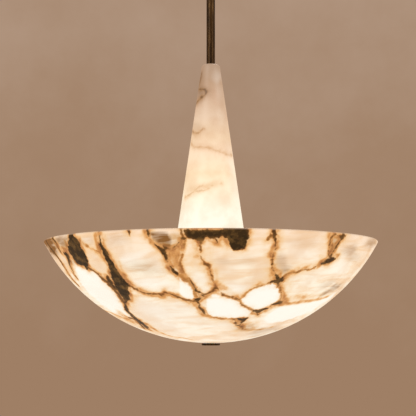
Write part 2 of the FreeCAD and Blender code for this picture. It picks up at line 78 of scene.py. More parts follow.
# ---------------------------------------------------------------- camera
PHOTO_SIDE = 416
EYE_DISTANCE = 1.900
EYE_BELOW_RIM = 0.146
EYE_PITCH = math.radians(5.94)
EYE_ASIDE = -0.0042
PIXELS_PER_METRE = 667.5
SENSOR_MM = 36.0
FOCAL_PIXELS = PIXELS_PER_METRE * EYE_DISTANCE
EYE = Vector((EYE_ASIDE, -EYE_DISTANCE, RIM_LEVEL - EYE_BELOW_RIM))
VIEW_RIGHT = Vector((1, 0, 0))
VIEW_AHEAD = Vector((0, math.cos(EYE_PITCH), math.sin(EYE_PITCH)))
VIEW_UP = Vector((0, -math.sin(EYE_PITCH), math.cos(EYE_PITCH)))
# The front drawing, on which the veins are laid: millimetres right of the stem and below the
# near rim, on the picture plane through the stem.
DRAWING_SCALE_MM = 1.5
DRAWING_X_PIXEL = 211.0
DRAWING_Y_PIXEL = 228.0


def make_camera():
    camera_data = bpy.data.cameras.new("photo_camera")
    camera_data.sensor_width = SENSOR_MM
    camera_data.lens = FOCAL_PIXELS / PHOTO_SIDE * SENSOR_MM
    camera_data.clip_end = 60.0
    camera = bpy.data.objects.new("photo_camera", camera_data)
    camera.location = EYE
    camera.rotation_euler = Euler((math.pi / 2 + EYE_PITCH, 0, 0))
    bpy.context.scene.collection.objects.link(camera)
    bpy.context.scene.camera = camera


def sight_line(across, down):
    """Direction from the eye through a point of the front drawing."""
    pixel_x = DRAWING_X_PIXEL + across / DRAWING_SCALE_MM - PHOTO_SIDE / 2
    pixel_y = DRAWING_Y_PIXEL + down / DRAWING_SCALE_MM - PHOTO_SIDE / 2
    ray = VIEW_AHEAD * FOCAL_PIXELS + VIEW_RIGHT * pixel_x - VIEW_UP * pixel_y
    return ray.normalized()


def on_drawing(points):
    """Where points given in millimetres fall on the front drawing."""
    rays = points * MM - np.array(EYE)
    ahead = rays @ np.array(VIEW_AHEAD) / FOCAL_PIXELS
    pixel_x = rays @ np.array(VIEW_RIGHT) / ahead + PHOTO_SIDE / 2
    pixel_y = PHOTO_SIDE / 2 - rays @ np.array(VIEW_UP) / ahead
    return np.column_stack([(pixel_x - DRAWING_X_PIXEL) * DRAWING_SCALE_MM,
                            (pixel_y - DRAWING_Y_PIXEL) * DRAWING_SCALE_MM])


def bowl_radius_at(level):
    """Outer radius of the bowl at a level."""
    rise = min(max(SPHERE_CENTRE - level, -BOWL_SPHERE), BOWL_SPHERE)
    return math.sqrt(max(BOWL_SPHERE ** 2 - rise ** 2, 0.0))


def cone_radius_at(level):
    """Outer radius of the conical shade at a level."""
    share = (CONE_TOP - level) / (CONE_TOP - CONE_BASE)
    return CONE_TOP_RADIUS + (CONE_BASE_RADIUS - CONE_TOP_RADIUS) * share


def dropped(across, down, radius_at):
    """Where a point of the front drawing lies on a turned surface, along the line of sight."""
    ray = sight_line(across, down)
    near = (EYE_DISTANCE - BOWL_RIM_RADIUS * 1.2) / ray.y
    far = EYE_DISTANCE / ray.y
    for _ in range(30):
        middle = (near + far) / 2
        point = EYE + ray * middle
        if math.hypot(point.x, point.y) > radius_at(point.z):
            near = middle
        else:
            far = middle
    return EYE + ray * far


# ---------------------------------------------------------------- veins of the stone
# Drawn on the front drawing, in millimetres across and down.
# A vein is its darkness and a row of (across, down, half-width).
BOWL_VEINS = {
    "left_tip": (0.75, [
        (-248.5, 17, 1.4), (-244, 25, 1.8), (-239, 32.5, 2.4), (-232.5, 40, 2),
        (-226.5, 49, 1.2), (-220.5, 58.5, 1), (-210, 75, 1), (-200, 85.5, 1.4)]),
    "left_tip_line": (0.45, [
        (-231, 41, 1), (-224, 51, 0.8), (-216, 64, 0.8), (-207, 78, 0.9), (-199.5, 86, 0.8)]),
    "left_nick": (0.7, [
        (-239, 13, 1.8), (-235.5, 18.5, 1.6), (-232, 22.5, 1.4), (-229.5, 28.5, 0.8),
        (-225, 37.5, 0.8)]),
    "dark_patch": (1.0, [
        (-210.5, 9, 3.6), (-208, 16.5, 5.1), (-204, 25.5, 6.9), (-203, 33, 9.3), (-200, 40, 9.6),
        (-195.5, 46.5, 6.9), (-190.5, 53, 3.9), (-187, 60, 2.1)]),
    "dark_patch_spur": (0.85, [
        (-220, 38, 1.8), (-216, 40, 3), (-214.5, 46, 2), (-212.5, 52.5, 1.2), (-208.5, 63, 0.8),
        (-204, 70.5, 0.8), (-199.5, 77, 0.8)]),
    "dark_patch_tail": (0.6, [
        (-187.5, 57, 1.2), (-178.5, 63, 1), (-169, 70, 1.2), (-163, 76, 1.5), (-154.5, 82, 2),
        (-149.5, 88, 2.2), (-140, 98, 2.1), (-134.5, 106, 1.8), (-128.5, 114, 1.8)]),
    "great_vein": (1.0, [
        (-169.5, 5, 1.4), (-167.5, 9, 1.4), (-165.5, 16.5, 1.4), (-163, 27.5, 2.2),
        (-158, 39, 3.6), (-152, 50.5, 3.9), (-147, 61.5, 4.5), (-141.5, 73, 6.3),
        (-137, 83, 7.2), (-133, 92.5, 6.6), (-129.5, 100.5, 4.5), (-125.5, 107, 1.8)]),
    "great_vein_wedge": (0.95, [
        (-140, 73.5, 3.6), (-134, 79.5, 3.9), (-127.5, 84, 2.4), (-121, 88, 1.2)]),
    "great_vein_foot": (0.85, [
        (-131.5, 96, 3.3), (-128.5, 106.5, 2.2), (-128, 114, 1.6), (-126.5, 122.5, 1.6),
        (-122.5, 127, 2), (-117, 132.5, 2.2), (-110.5, 137.5, 2.4), (-104, 143, 2.6),
        (-98, 148, 1.6), (-94, 152, 0.9)]),
    "great_vein_prong": (0.7, [
        (-123.5, 134.5, 0.9), (-118, 135.5, 1), (-111.5, 139, 1.4), (-105.5, 145.5, 1.6),
        (-100, 151, 1)]),
    "rust_knots": (0.8, [
        (-155, 74, 1.5), (-152, 79, 2.7), (-148.5, 85, 2.7), (-143, 91, 2.1)]),
    "middle_branch": (0.6, [
        (-126, 85, 1.8), (-121, 87.5, 1.6), (-113, 91.5, 1.2), (-101.5, 96.5, 0.9),
        (-92, 99, 0.9), (-82.5, 100, 1), (-76.5, 99.5, 1.4), (-74, 101.5, 1.8), (-71, 97.5, 1.2),
        (-68, 96, 1), (-64, 98, 1), (-56.5, 100.5, 1.2), (-52, 103.5, 1.8), (-47.5, 104, 2),
        (-40, 107.5, 1), (-33, 109, 1.2), (-26, 109.5, 1.4), (-20.5, 109, 2.4)]),
    "left_dark_knot": (1.0, [
        (-23, 109, 1.5), (-20, 108.5, 2.8), (-17, 106, 2.2), (-14.5, 103.5, 1.5),
        (-12.5, 101, 2.8), (-11.5, 98.5, 1.8)]),
    "diagonal": (0.85, [
        (-96.5, 3.5, 2), (-94.5, 9, 2), (-91.5, 16, 1.4), (-85, 22.5, 1.2), (-78.5, 28.5, 2),
        (-74, 32.5, 3.6), (-70, 38, 3.6), (-67, 44, 2.4), (-65, 51.5, 1.4), (-59.5, 59.5, 1.4),
        (-55, 65, 2.1), (-52, 68, 2.6), (-48.5, 71, 1.6)]),
    "rust_band": (0.25, [
        (-52, 68, 1.8), (-47, 71.5, 2), (-41.5, 74.5, 2.4), (-35.5, 78.5, 2.6), (-31, 84, 2.1),
        (-27.5, 91.5, 1.6), (-24.5, 98, 1.8), (-22.5, 103, 1.8)]),
    "smoky_cell_foot": (0.75, [
        (-71, 29, 2.1), (-64, 30.5, 1.4), (-58, 29.5, 1.2), (-51.5, 26.5, 1), (-46, 21.5, 1.2),
        (-43, 15.5, 1.8), (-40, 16, 2.4)]),
    "pink_cell_edge": (0.55, [
        (-46, 3.5, 0.9), (-45.5, 8, 1), (-43.5, 11.5, 1.4), (-41.5, 14.5, 1.4)]),
    "top_band": (0.8, [
        (-35.5, 2.5, 1.5), (-34, 8.5, 6.3), (-27, 9.5, 7.8), (-17, 11, 8.7), (-12, 8.5, 7.8),
        (-4.5, 6.5, 6.3), (3, 8.5, 8.1), (9.5, 8.5, 7.5), (16.5, 6, 5.7), (27, 7.5, 8.4),
        (39, 9.5, 10.5), (46.5, 9.5, 10.5)]),
    "top_band_spur": (0.75, [
        (5.5, 14, 2.4), (8, 18, 1.6), (9, 20.5, 0.8)]),
    "top_blob": (1.0, [
        (31, 9, 6.3), (33.5, 17, 8.1), (37.5, 23, 9), (43.5, 22.5, 9.6), (47.5, 16.5, 9),
        (47.5, 9, 9)]),
    "finger_left": (0.45, [
        (-38, 18.5, 1.8), (-39.5, 24, 1.2), (-41, 30, 0.9), (-43.5, 39, 0.8), (-44.5, 51, 0.8),
        (-43, 62, 0.8), (-39.5, 69, 0.8), (-33.5, 74.5, 0.9), (-30.5, 79, 1.2)]),
    "finger_left_end": (0.9, [
        (-31, 78.5, 0.9), (-28.5, 85, 1.5), (-26, 89, 1.8), (-22, 93.5, 2), (-16, 97, 1.5),
        (-12, 99, 1.8)]),
    "finger_right": (0.6, [
        (-15.5, 16.5, 2.1), (-14.5, 21, 1.8), (-16, 29.5, 1.2), (-15, 41.5, 1.2),
        (-12.5, 48.5, 1.6), (-7.5, 53.5, 2.1), (-4, 56.5, 2), (-2.5, 61.5, 0.9), (-1, 67.5, 0.8),
        (2.5, 73.5, 0.9), (5, 81, 0.9), (6.5, 87.5, 1.4)]),
    "finger_foot": (0.65, [
        (7, 88, 1.8), (4, 92.5, 1.4), (-0.5, 96.5, 1.4), (-6.5, 98.5, 1.4), (-11.5, 99.5, 1.5)]),
    "over_bright_cells": (0.55, [
        (7.5, 89, 0.8), (12, 93.5, 0.6), (16, 97, 0.9), (18.5, 99.5, 1.8), (21.5, 101, 1.2),
        (27, 103, 1), (32, 104, 1.5), (37, 105.5, 1.2), (43, 107.5, 1.2)]),
    "round_right_cell": (0.3, [
        (43, 107, 1.2), (47, 104, 0.8), (53, 97, 0.8), (59.5, 91.5, 0.8), (67, 87.5, 0.8),
        (76, 85.5, 0.8), (83, 84.5, 0.8), (87.5, 83, 1.6)]),
    "between_bright_cells": (0.5, [
        (43, 108, 1), (44.5, 112.5, 0.4), (46.5, 116.5, 0.9), (53, 119, 1), (58, 121.5, 0.8),
        (62.5, 123.5, 1.2)]),
    "left_bright_edge": (0.8, [
        (-19, 110, 2.1), (-18, 115, 1.4), (-15.5, 120.5, 1.4), (-13, 124, 2), (-9.5, 127, 1.5),
        (-5.5, 130, 0.9)]),
    "bright_cell_floor": (0.3, [
        (-5.5, 130, 0.8), (1, 133.5, 0.8), (11, 135.5, 0.8), (22, 136, 0.8), (32.5, 136, 0.9),
        (38.5, 136, 1.2)]),
    "floor_knot": (0.9, [
        (34, 136.5, 0.9), (41, 136, 1.2), (47.5, 137.5, 2.4), (51.5, 136, 1.4)]),
    "floor_knot_foot": (0.8, [
        (49, 138, 1.8), (46, 141.5, 1.4), (43.5, 145, 1.4), (38.5, 144.5, 0.9),
        (35.5, 140.5, 0.8), (35, 137, 0.8)]),
    "floor_spur": (0.5, [
        (44, 146, 0.8), (48, 149.5, 1.2), (46, 152.5, 0.6)]),
    "right_cell_floor": (0.85, [
        (63, 123.5, 1.4), (67, 125, 2), (71.5, 125, 1.8), (78.5, 122, 1.4), (85.5, 119, 1.2),
        (92, 115, 1.2), (98.5, 112.5, 1.5), (102.5, 111.5, 2.2), (106, 112, 1.2)]),
    "right_cell_floor_spur": (0.6, [
        (68.5, 126.5, 1), (70, 130.5, 0.6)]),
    "right_cell_side": (0.45, [
        (102.5, 111.5, 1.5), (104.5, 106, 0.9), (105, 98.5, 0.8), (104, 91, 0.9),
        (102.5, 84, 1.8)]),
    "great_knot": (0.95, [
        (98, 69.5, 1.8), (100, 74.5, 3.6), (101.5, 79, 4.2), (104, 77.5, 3), (108, 74.5, 1.5)]),
    "great_knot_left": (0.85, [
        (100, 80, 3), (94, 80, 2), (89, 83, 1.5)]),
    "great_knot_foot": (0.8, [
        (101, 78, 2.7), (100, 84, 1.8), (99, 87.5, 0.9)]),
    "right_vertical": (0.75, [
        (95.5, 4, 3.3), (96, 10, 2.4), (96.5, 16.5, 1.5), (96.5, 24, 1), (95.5, 32.5, 1.2),
        (93, 39, 1), (91.5, 46, 1), (91.5, 53, 1.6), (92.5, 60.5, 1.4), (95, 66, 1.5),
        (97.5, 70.5, 2.4)]),
    "right_vertical_spur": (0.55, [
        (84.5, 18, 0.8), (88.5, 13, 1), (92.5, 10.5, 1.4), (96, 11.5, 1.5)]),
    "right_branch": (0.45, [
        (107.5, 75, 1.5), (114.5, 69.5, 0.9), (121, 67.5, 0.8), (128.5, 66, 0.8),
        (139.5, 62.5, 0.8), (150.5, 62, 0.9), (156.5, 58, 0.9), (163, 54, 1.2)]),
    "right_branch_knot": (0.9, [
        (164, 53, 1), (170.5, 51, 2.1), (178, 49, 2.8), (183, 47, 1.8), (187, 46, 0.8)]),
    "right_loop_inner": (0.7, [
        (179, 48, 2.1), (180, 42, 1.4), (183.5, 34.5, 1), (188, 27, 1), (193, 19, 1.4),
        (197, 13, 3), (200.5, 11.5, 1.5)]),
    "right_loop_outer": (0.6, [
        (179, 46.5, 1.8), (177, 41, 1.4), (177, 34.5, 0.9), (178.5, 27, 0.9), (179, 19, 0.9),
        (180.5, 13.5, 1.5), (185.5, 10, 1), (191, 11, 1.6), (196, 12, 2.1)]),
    "rim_nick": (0.75, [
        (-123.5, 4, 1.5), (-122.5, 8, 1), (-122, 12, 0.4)]),
    "amber_line": (0.2, [
        (-190, 23, 0.6), (-184.5, 27, 0.6), (-178.5, 31, 0.6), (-172.5, 34, 0.8),
        (-167, 36.5, 0.9)]),
}
BOWL_STAINS = {
    "great_vein_left": (0, [
        (-173, 12, 1.8), (-170, 22.5, 2.4), (-166.5, 33, 2.4), (-161, 43.5, 1.5)]),
    "lower_left_edge": (0, [
        (-164, 123, 0.9), (-154.5, 125.5, 1.2), (-144, 130, 1.5), (-133.5, 134.5, 1.5),
        (-122, 137, 1.2)]),
    "bottom_edge": (0, [
        (-97.5, 143.5, 1.8), (-91, 147.5, 1.5), (-82.5, 153.5, 1.2), (-68, 160, 0.9),
        (-53, 163.5, 0.8), (-42, 165, 0.8), (-30, 167.5, 0.6)]),
    "lower_right": (0, [
        (106, 111.5, 1.8), (115, 113, 1.2), (127.5, 111.5, 1.2), (139.5, 110, 1.2),
        (152, 108.5, 1.2), (164, 105.5, 1.2), (175.5, 102.5, 0.9)]),
    "bottom_right": (0, [
        (44.5, 151, 0.9), (54, 153, 1), (66, 153, 1), (79.5, 151.5, 0.9), (91.5, 148.5, 0.6)]),
}
BOWL_CELLS = {
    "small_bright": (0, 0, 1.0, [
        (-47, 74.5), (-40.5, 78.5), (-34, 83), (-29, 89), (-26.5, 94.5), (-24.5, 101),
        (-27, 106), (-32, 107.5), (-37.5, 107), (-41.5, 103.5), (-45.5, 98), (-47.5, 92.5),
        (-47.5, 82.5)]),
    "tiny_bright": (0, 0, 0.95, [
        (0, 102), (4, 99.5), (9.5, 99), (14, 101.5), (12, 104.5), (2.5, 104.5)]),
    "wide_bright": (0, 0, 1.0, [
        (-7, 107), (0, 106), (9, 106), (18, 105), (23, 104.5), (31, 106.5), (38.5, 109.5),
        (44, 113), (45.5, 117.5), (53, 120.5), (61.5, 124.5), (58, 128.5), (52, 132.5),
        (42, 134.5), (31, 135), (17.5, 134), (7, 133), (-2, 129), (-6, 123.5), (-8, 116)]),
    "wide_bright_end": (0.42, 0, 0.3, [
        (-14, 107.5), (-7, 107), (-5.5, 114), (-4, 124), (-1, 129.5), (-8, 126), (-14, 119),
        (-17, 112)]),
    "round_bright": (0, 0, 1.0, [
        (45.5, 109), (50, 103), (60, 94.5), (68, 89.5), (76, 87), (84.5, 86), (89, 83.5),
        (94.5, 84.5), (98.5, 86.5), (102, 91.5), (103, 100), (100, 107), (92.5, 112),
        (82, 118.5), (72, 122.5), (63.5, 122.5), (55.5, 118.5), (49, 114)]),
    "right_bright": (0, 0, 0.9, [
        (107.5, 117.5), (117, 115.5), (129, 114.5), (142.5, 112.5), (156, 110), (169.5, 106),
        (180, 101.5), (187.5, 96), (178.5, 105), (166.5, 114), (154.5, 121.5), (141, 128.5),
        (127.5, 134), (112.5, 138.5), (97.5, 142), (85.5, 142.5), (79.5, 136.5), (88.5, 128),
        (99, 122)]),
    "left_bright": (0, 0, 0.85, [
        (-202, 60), (-187.5, 61), (-169, 72.5), (-151.5, 89.5), (-136.5, 107.5), (-127.5, 125.5),
        (-127.5, 133.5), (-140, 129), (-159.5, 117.5), (-176.5, 104), (-190, 90.5), (-198, 78)]),
    "tan_wedge": (0.8, 0.1, 0, [
        (-63, 32.5), (-57, 31.5), (-50.5, 29), (-45, 23.5), (-41.5, 19.5), (-40.5, 23.5),
        (-43.5, 33), (-45, 42), (-45, 52.5), (-44, 62.5), (-41, 69.5), (-36, 74), (-43.5, 73),
        (-50.5, 67), (-57.5, 59), (-63, 51), (-64.5, 42)]),
    "finger_top": (0.42, 0, 0, [
        (-37.5, 19.5), (-28, 20), (-17, 21.5), (-16.5, 30), (-16, 42), (-13.5, 50), (-7.5, 55.5),
        (-4, 61.5), (-10.5, 66), (-22.5, 64.5), (-31.5, 68), (-37.5, 67.5), (-41.5, 62),
        (-43, 51), (-42.5, 39)]),
    "finger_end": (0.12, 0, 0.34, [
        (-31.5, 71), (-22.5, 67), (-10.5, 68), (-2, 69.5), (2, 75.5), (3.5, 82.5), (4.5, 87.5),
        (1, 92.5), (-5.5, 96), (-12, 97), (-19.5, 93.5), (-24.5, 88.5), (-27.5, 82.5),
        (-31, 76.5)]),
    "round_top": (0.4, 0, 0, [
        (-13.5, 24), (-11.5, 18), (-7.5, 15), (-2, 14), (3, 17), (7.5, 22.5), (8, 33), (4.5, 45),
        (5, 57), (6.5, 69), (9, 81), (5.5, 79), (0, 68.5), (-2, 57.5), (-7, 52.5), (-11.5, 46.5),
        (-14, 37.5)]),
    "amber_triangle": (0.55, 0, 0.15, [
        (8.5, 90.5), (12.5, 95.5), (16.5, 100), (14.5, 101), (9.5, 98.5), (4, 98.5), (-0.5, 101),
        (-4.5, 101), (1.5, 96.5)]),
    "rust_triangle": (0.75, 0.1, 0, [
        (-24.5, 96.5), (-17, 98.5), (-14.5, 101.5), (-19, 105), (-23.5, 104)]),
    "floor_tan": (0.78, 0.18, 0, [
        (36.5, 137.5), (46, 138.5), (44.5, 143), (41.5, 144.5), (37.5, 143)]),
    "smoky_cell": (0.25, 1.0, 0, [
        (-92, 6), (-79.5, 5), (-67.5, 5.5), (-61.5, 12), (-60.5, 22.5), (-62, 29), (-69, 28.5),
        (-75, 25), (-82, 20), (-88.5, 14.5)]),
    "smoky_cell_right": (0.55, 0.22, 0, [
        (-62, 6.5), (-51, 5.5), (-46.5, 10.5), (-44, 16), (-47, 21), (-53, 26), (-60, 28.5),
        (-63.5, 21), (-64, 12)]),
    "pink_cell": (0.28, 0.1, 0, [
        (-44, 4), (-39, 3.5), (-37, 7.5), (-38.5, 12), (-42.5, 11)]),
    "loop_cell": (0.28, 0.38, 0, [
        (182.5, 14.5), (187.5, 12), (193, 14), (189, 22.5), (183.5, 31), (180.5, 34.5),
        (179.5, 25.5)]),
    "rust_left": (0.62, 0.05, 0, [
        (-172.5, 12), (-168, 15), (-164, 27), (-160.5, 38.5), (-156, 51), (-159, 51), (-165, 42),
        (-169.5, 30)]),
    "left_grey": (0.05, 0.55, 0, [
        (-234, 14), (-223.5, 11.5), (-216, 11.5), (-215, 19.5), (-216.5, 28.5), (-223.5, 30),
        (-231, 23)]),
}
BOWL_AMBER = [
    (-195, 27, 3.9, 10.5, -14, 1.15), (-190.5, 42, 3.9, 9, -28, 1.2),
    (-184.5, 55.5, 3.3, 7.5, -38, 1.0), (-201, 51, 6.8, 4.5, 30, 0.9),
    (-192, 60, 6, 4.5, 30, 0.7), (-198, 13.5, 4.5, 4.5, 0, 0.35),
    (-165, 36, 3.3, 13.5, -22, 0.8), (-170, 22.5, 2.7, 9, -12, 0.7),
    (-132, 66, 3.3, 10.5, -20, 0.45), (-142.5, 51, 9, 12, -30, 0.5),
    (-151, 78, 6.8, 10.5, -35, 0.85), (-124.5, 60, 15, 7.5, -25, 0.18),
    (-124.5, 136.5, 21, 6, 26, 0.8), (-76.5, 103.5, 12, 4.5, 0, 0.3),
    (-57, 108, 13.5, 4.5, 0, 0.28), (-24, 114, 6, 6, 0, 0.3), (-9, 27, 6, 12, 0, 0.3),
    (16.5, 24, 9, 10.5, 0, 0.35), (22.5, 18, 7.5, 6, 0, 0.5), (45, 34.5, 12, 4.5, 0, 0.32),
    (61.5, 22.5, 6, 12, 0, 0.25), (12, 84, 7.5, 15, -20, 0.55), (4.5, 60, 9, 12, -25, 0.42),
    (25.5, 94.5, 13.5, 6, 22, 0.42), (85.5, 51, 7.5, 13.5, 0, 0.35), (93, 27, 6, 12, 0, 0.42),
    (82.5, 75, 9, 6, -30, 0.42), (112.5, 88.5, 10.5, 10.5, 0, 0.35),
    (123, 105, 22.5, 7.5, -8, 0.48), (148.5, 103.5, 18, 5.2, -8, 0.42),
    (169.5, 99, 10.5, 3.8, -15, 0.3), (166.5, 43.5, 7.5, 6, 0, 0.45),
    (133.5, 63, 30, 4.5, -8, 0.22), (55.5, 148.5, 21, 7.5, -6, 0.62),
    (76.5, 135, 15, 4.5, -25, 0.25), (133.5, 78, 39, 12, -10, 0.16),
    (190.5, 33, 7.5, 10.5, 0, 0.25), (-171, 51, 12, 9, 40, 0.22), (-223.5, 51, 6, 12, -35, 0.25),
    (-91.5, 33, 9, 9, -40, 0.15), (-61.5, 18, 7.5, 6, 0, 0.25), (-12, 127.5, 7.5, 4.5, 30, 0.4)]
BOWL_SMOKE = [
    (-102, 60, 25.5, 8.2, 9, 0.26), (-141, 18, 18, 9, 0, 0.2), (-90, 51, 12, 4.5, 0, 0.1),
    (208, 34, 10.5, 6.8, -35, 0.42), (214.5, 45, 7.5, 4.5, -35, 0.25),
    (240, 22.5, 9, 6.8, -30, 0.42), (105.5, 52, 6.8, 12, 0, 0.4), (113, 62, 6.8, 5.2, -30, 0.34),
    (174, 84, 12, 3, -24, 0.3), (188, 88, 7.5, 3.3, -25, 0.62), (172, 98, 9.8, 2.7, -22, 0.52),
    (79.5, 154.5, 21, 3.9, -14, 0.42), (54, 150, 13.5, 3.9, -5, 0.34),
    (-246, 18, 6.8, 6, 45, 0.85), (-241, 27, 10.5, 6.8, 55, 0.9),
    (-235.5, 36, 7.5, 4.5, 55, 0.6), (19.5, 51, 13.5, 4.5, 0, 0.14), (51, 51, 15, 6, -10, 0.1),
    (133.5, 22.5, 24, 6, 0, 0.1), (-205.5, 51, 9, 4.5, 0, 0.35), (-186, 19.5, 9, 6, 0, 0.2)]
BOWL_BRIGHT = [
    (-120, 45, 21, 7.5, -8, 0.55), (-91.5, 84, 30, 9, 6, 0.6), (-69, 54, 12, 15, -40, 0.3),
    (31.5, 93, 21, 10.5, -8, 0.55), (-46.5, 126, 45, 12, 4, 0.3), (-91.5, 123, 30, 12, 20, 0.4),
    (-69, 147, 33, 7.5, 8, 0.3), (21, 145.5, 36, 6, 0, 0.25), (76.5, 142.5, 24, 6, -12, 0.45),
    (160.5, 70.5, 24, 9, -25, 0.22), (193.5, 60, 12, 9, -35, 0.35),
    (-174, 82.5, 21, 10.5, 40, 0.4), (25.5, 60, 24, 10.5, 0, 0.1), (138, 39, 27, 9, 0, 0.18),
    (-193.5, 87, 7.5, 6, 45, 0.2)]
CONE_AMBER = [
    (-195, 27, 3.9, 10.5, -14, 1.15), (-190.5, 42, 3.9, 9, -28, 1.2),
    (-184.5, 55.5, 3.3, 7.5, -38, 1.0), (-201, 51, 6.8, 4.5, 30, 0.9),
    (-192, 60, 6, 4.5, 30, 0.7), (-198, 13.5, 4.5, 4.5, 0, 0.35),
    (-165, 36, 3.3, 13.5, -22, 0.8), (-170, 22.5, 2.7, 9, -12, 0.7),
    (-132, 66, 3.3, 10.5, -20, 0.45), (-18, -146, 15, 9, -15, 0.3),
    (-16.5, -123, 16.5, 4.5, 5, 0.22), (16.5, -113, 15, 3.9, 12, 0.22),
    (-19.5, -57, 18, 7.5, -20, 0.42), (3, -65, 15, 5.2, -8, 0.35),
    (-31.5, -64.5, 12, 9, 0, 0.16), (-9, -79.5, 21, 6, 0, 0.12), (19.5, -192, 6, 13.5, 0, 0.14),
    (-30, -87, 6, 27, 6, 0.1)]
# painted shade: dim grey-brown patches on the cone's upper left and its top
CONE_PAINTED_SHADE = [
    (-19, -199.5, 6.8, 11.2, 25, 0.62), (-16.5, -216, 6.8, 12, 10, 0.34),
    (-7.5, -204, 7.5, 7.5, 0, 0.18), (-3, -228, 6.8, 13.5, 0, 0.14),
    (-22.5, -153, 7.5, 6, 0, 0.12)]
# painted highlight: pale patches along the cone's right edge and by its right shoulder
CONE_PAINTED_HIGHLIGHT = [
    (8.5, -226.5, 6.9, 8.1, 0, 0.34), (12, -204, 5.2, 13.5, -10, 0.12),
    (31.5, -102, 6, 21, -12, 0.35), (39, -57, 7.5, 33, -12, 0.5)]
CONE_VEINS = {
    "shoulder_vein": (0.35, [
        (-15, -231.5, 0.8), (-15.5, -225, 1), (-16.5, -219, 0.8), (-17.5, -213, 0.3)]),
    "shoulder_hook": (0.7, [
        (-18.5, -209, 0.8), (-14, -208, 1.2), (-9.5, -206.5, 1.8), (-8, -203.5, 1.8),
        (-9.5, -200, 1.5), (-13.5, -195.5, 1.2), (-18.5, -191, 0.9), (-23, -186.5, 1)]),
    "left_curl": (0.3, [
        (-28.5, -144.5, 1.2), (-23.5, -142, 0.9), (-18, -143, 0.8), (-13.5, -146.5, 0.6),
        (-11, -150, 0.3)]),
    "cross_vein": (0.12, [
        (-29.5, -127, 0.3), (-26.5, -122.5, 0.4), (-20, -120.5, 0.4), (-8.5, -121.5, 0.6),
        (-3, -121, 0.4), (7.5, -116.5, 0.4), (14.5, -113, 0.6), (22.5, -110.5, 0.6),
        (31, -110.5, 0.4)]),
    "low_vein": (0.2, [
        (-39.5, -46, 0.6), (-33.5, -49, 0.8), (-28, -52, 0.6), (-19, -55.5, 0.8),
        (-11, -56.5, 0.6), (-5, -58.5, 1), (-3, -60.5, 0.4)]),
    "low_vein_loop": (0.15, [
        (-24, -54.5, 0.4), (-20, -59.5, 0.6), (-16, -62, 0.8), (-12, -63, 0.8), (-8, -61, 0.6),
        (-5, -59, 0.8)]),
    "low_vein_tip": (0.1, [
        (-5, -63.5, 0.3), (4, -65, 0.6), (9, -67, 0.4), (14.5, -67, 0.2)]),
}
# noise that shakes the veins and their halos: (amount, grain) pairs in millimetres
VEIN_SHAKE = ((2.0, 14.0), (1.0, 5.0))
HALO_SHAKE = ((7.0, 38.0), (1.6, 7.0))
VEIN_REACH_MM = 30.0
CELL_REACH_MM = 6.0
CRISP_EDGE_MM = (-1.2, 1.2)
SOFT_EDGE_MM = (-2.5, 3.5)


def smoothed(route, closed=False, steps=4):
    """Catmull-Rom curve through the points of a row, widths included."""
    rows = np.array(route, dtype=float)
    if closed:
        rows = np.vstack([rows[-1], rows, rows[:2]])
    else:
        rows = np.vstack([2 * rows[0] - rows[1], rows, 2 * rows[-1] - rows[-2]])
    made = []
    for before, here, there, after in zip(rows, rows[1:], rows[2:], rows[3:]):
        for step in range(steps):
            t = step / steps
            made.append(0.5 * (2 * here + (there - before) * t
                               + (2 * before - 5 * here + 4 * there - after) * t ** 2
                               + (3 * here - before - 3 * there + after) * t ** 3))
    made.append(rows[-2])
    return np.array(made)


def placed_veins(veins, radius_at):
    """Each vein as its darkness, its half-widths and its points on the stone, in millimetres.
    Where the stone turns away from the eye, a width in the drawing is wider on the stone."""
    placed = []
    for darkness, route in veins.values():
        curve = smoothed(route)
        runs = np.gradient(curve[:, :2], axis=0)
        sides = np.column_stack([-runs[:, 1], runs[:, 0]])
        sides *= (curve[:, 2] / np.maximum(np.linalg.norm(runs, axis=1), 1e-6))[:, None]
        places = np.array([dropped(*row[:2], radius_at) for row in curve]) / MM
        edges = np.array([dropped(*row, radius_at) for row in curve[:, :2] + sides]) / MM
        halves = np.minimum(np.linalg.norm(edges - places, axis=1), 1.9 * curve[:, 2])
        placed.append((darkness, halves, places))
    return placed


def away_from(points, start, end):
    """Distance of points from a straight run, and how far along it the nearest place is."""
    along = end - start
    share = np.clip((points - start) @ along / max(along @ along, 1e-9), 0, 1)
    return np.linalg.norm(points - start - share[:, None] * along, axis=1), share


def vein_fields(points, placed):
    """How far in millimetres each point lies inside the nearest vein, negative outside, and
    how dark that vein is."""
    depth = np.full(len(points), -VEIN_REACH_MM)
    dark = np.full(len(points), 0.5)
    for darkness, halves, places in placed:
        low, high = places.min(axis=0) - VEIN_REACH_MM, places.max(axis=0) + VEIN_REACH_MM
        near = np.flatnonzero(((points > low) & (points < high)).all(axis=1))
        best = np.full(len(near), -VEIN_REACH_MM)
        for half, following, start, end in zip(halves, halves[1:], places, places[1:]):
            away, share = away_from(points[near], start, end)
            best = np.maximum(best, half + (following - half) * share - away)
        better = best > depth[near]
        depth[near[better]] = best[better]
        dark[near[better]] = darkness
    return depth, dark


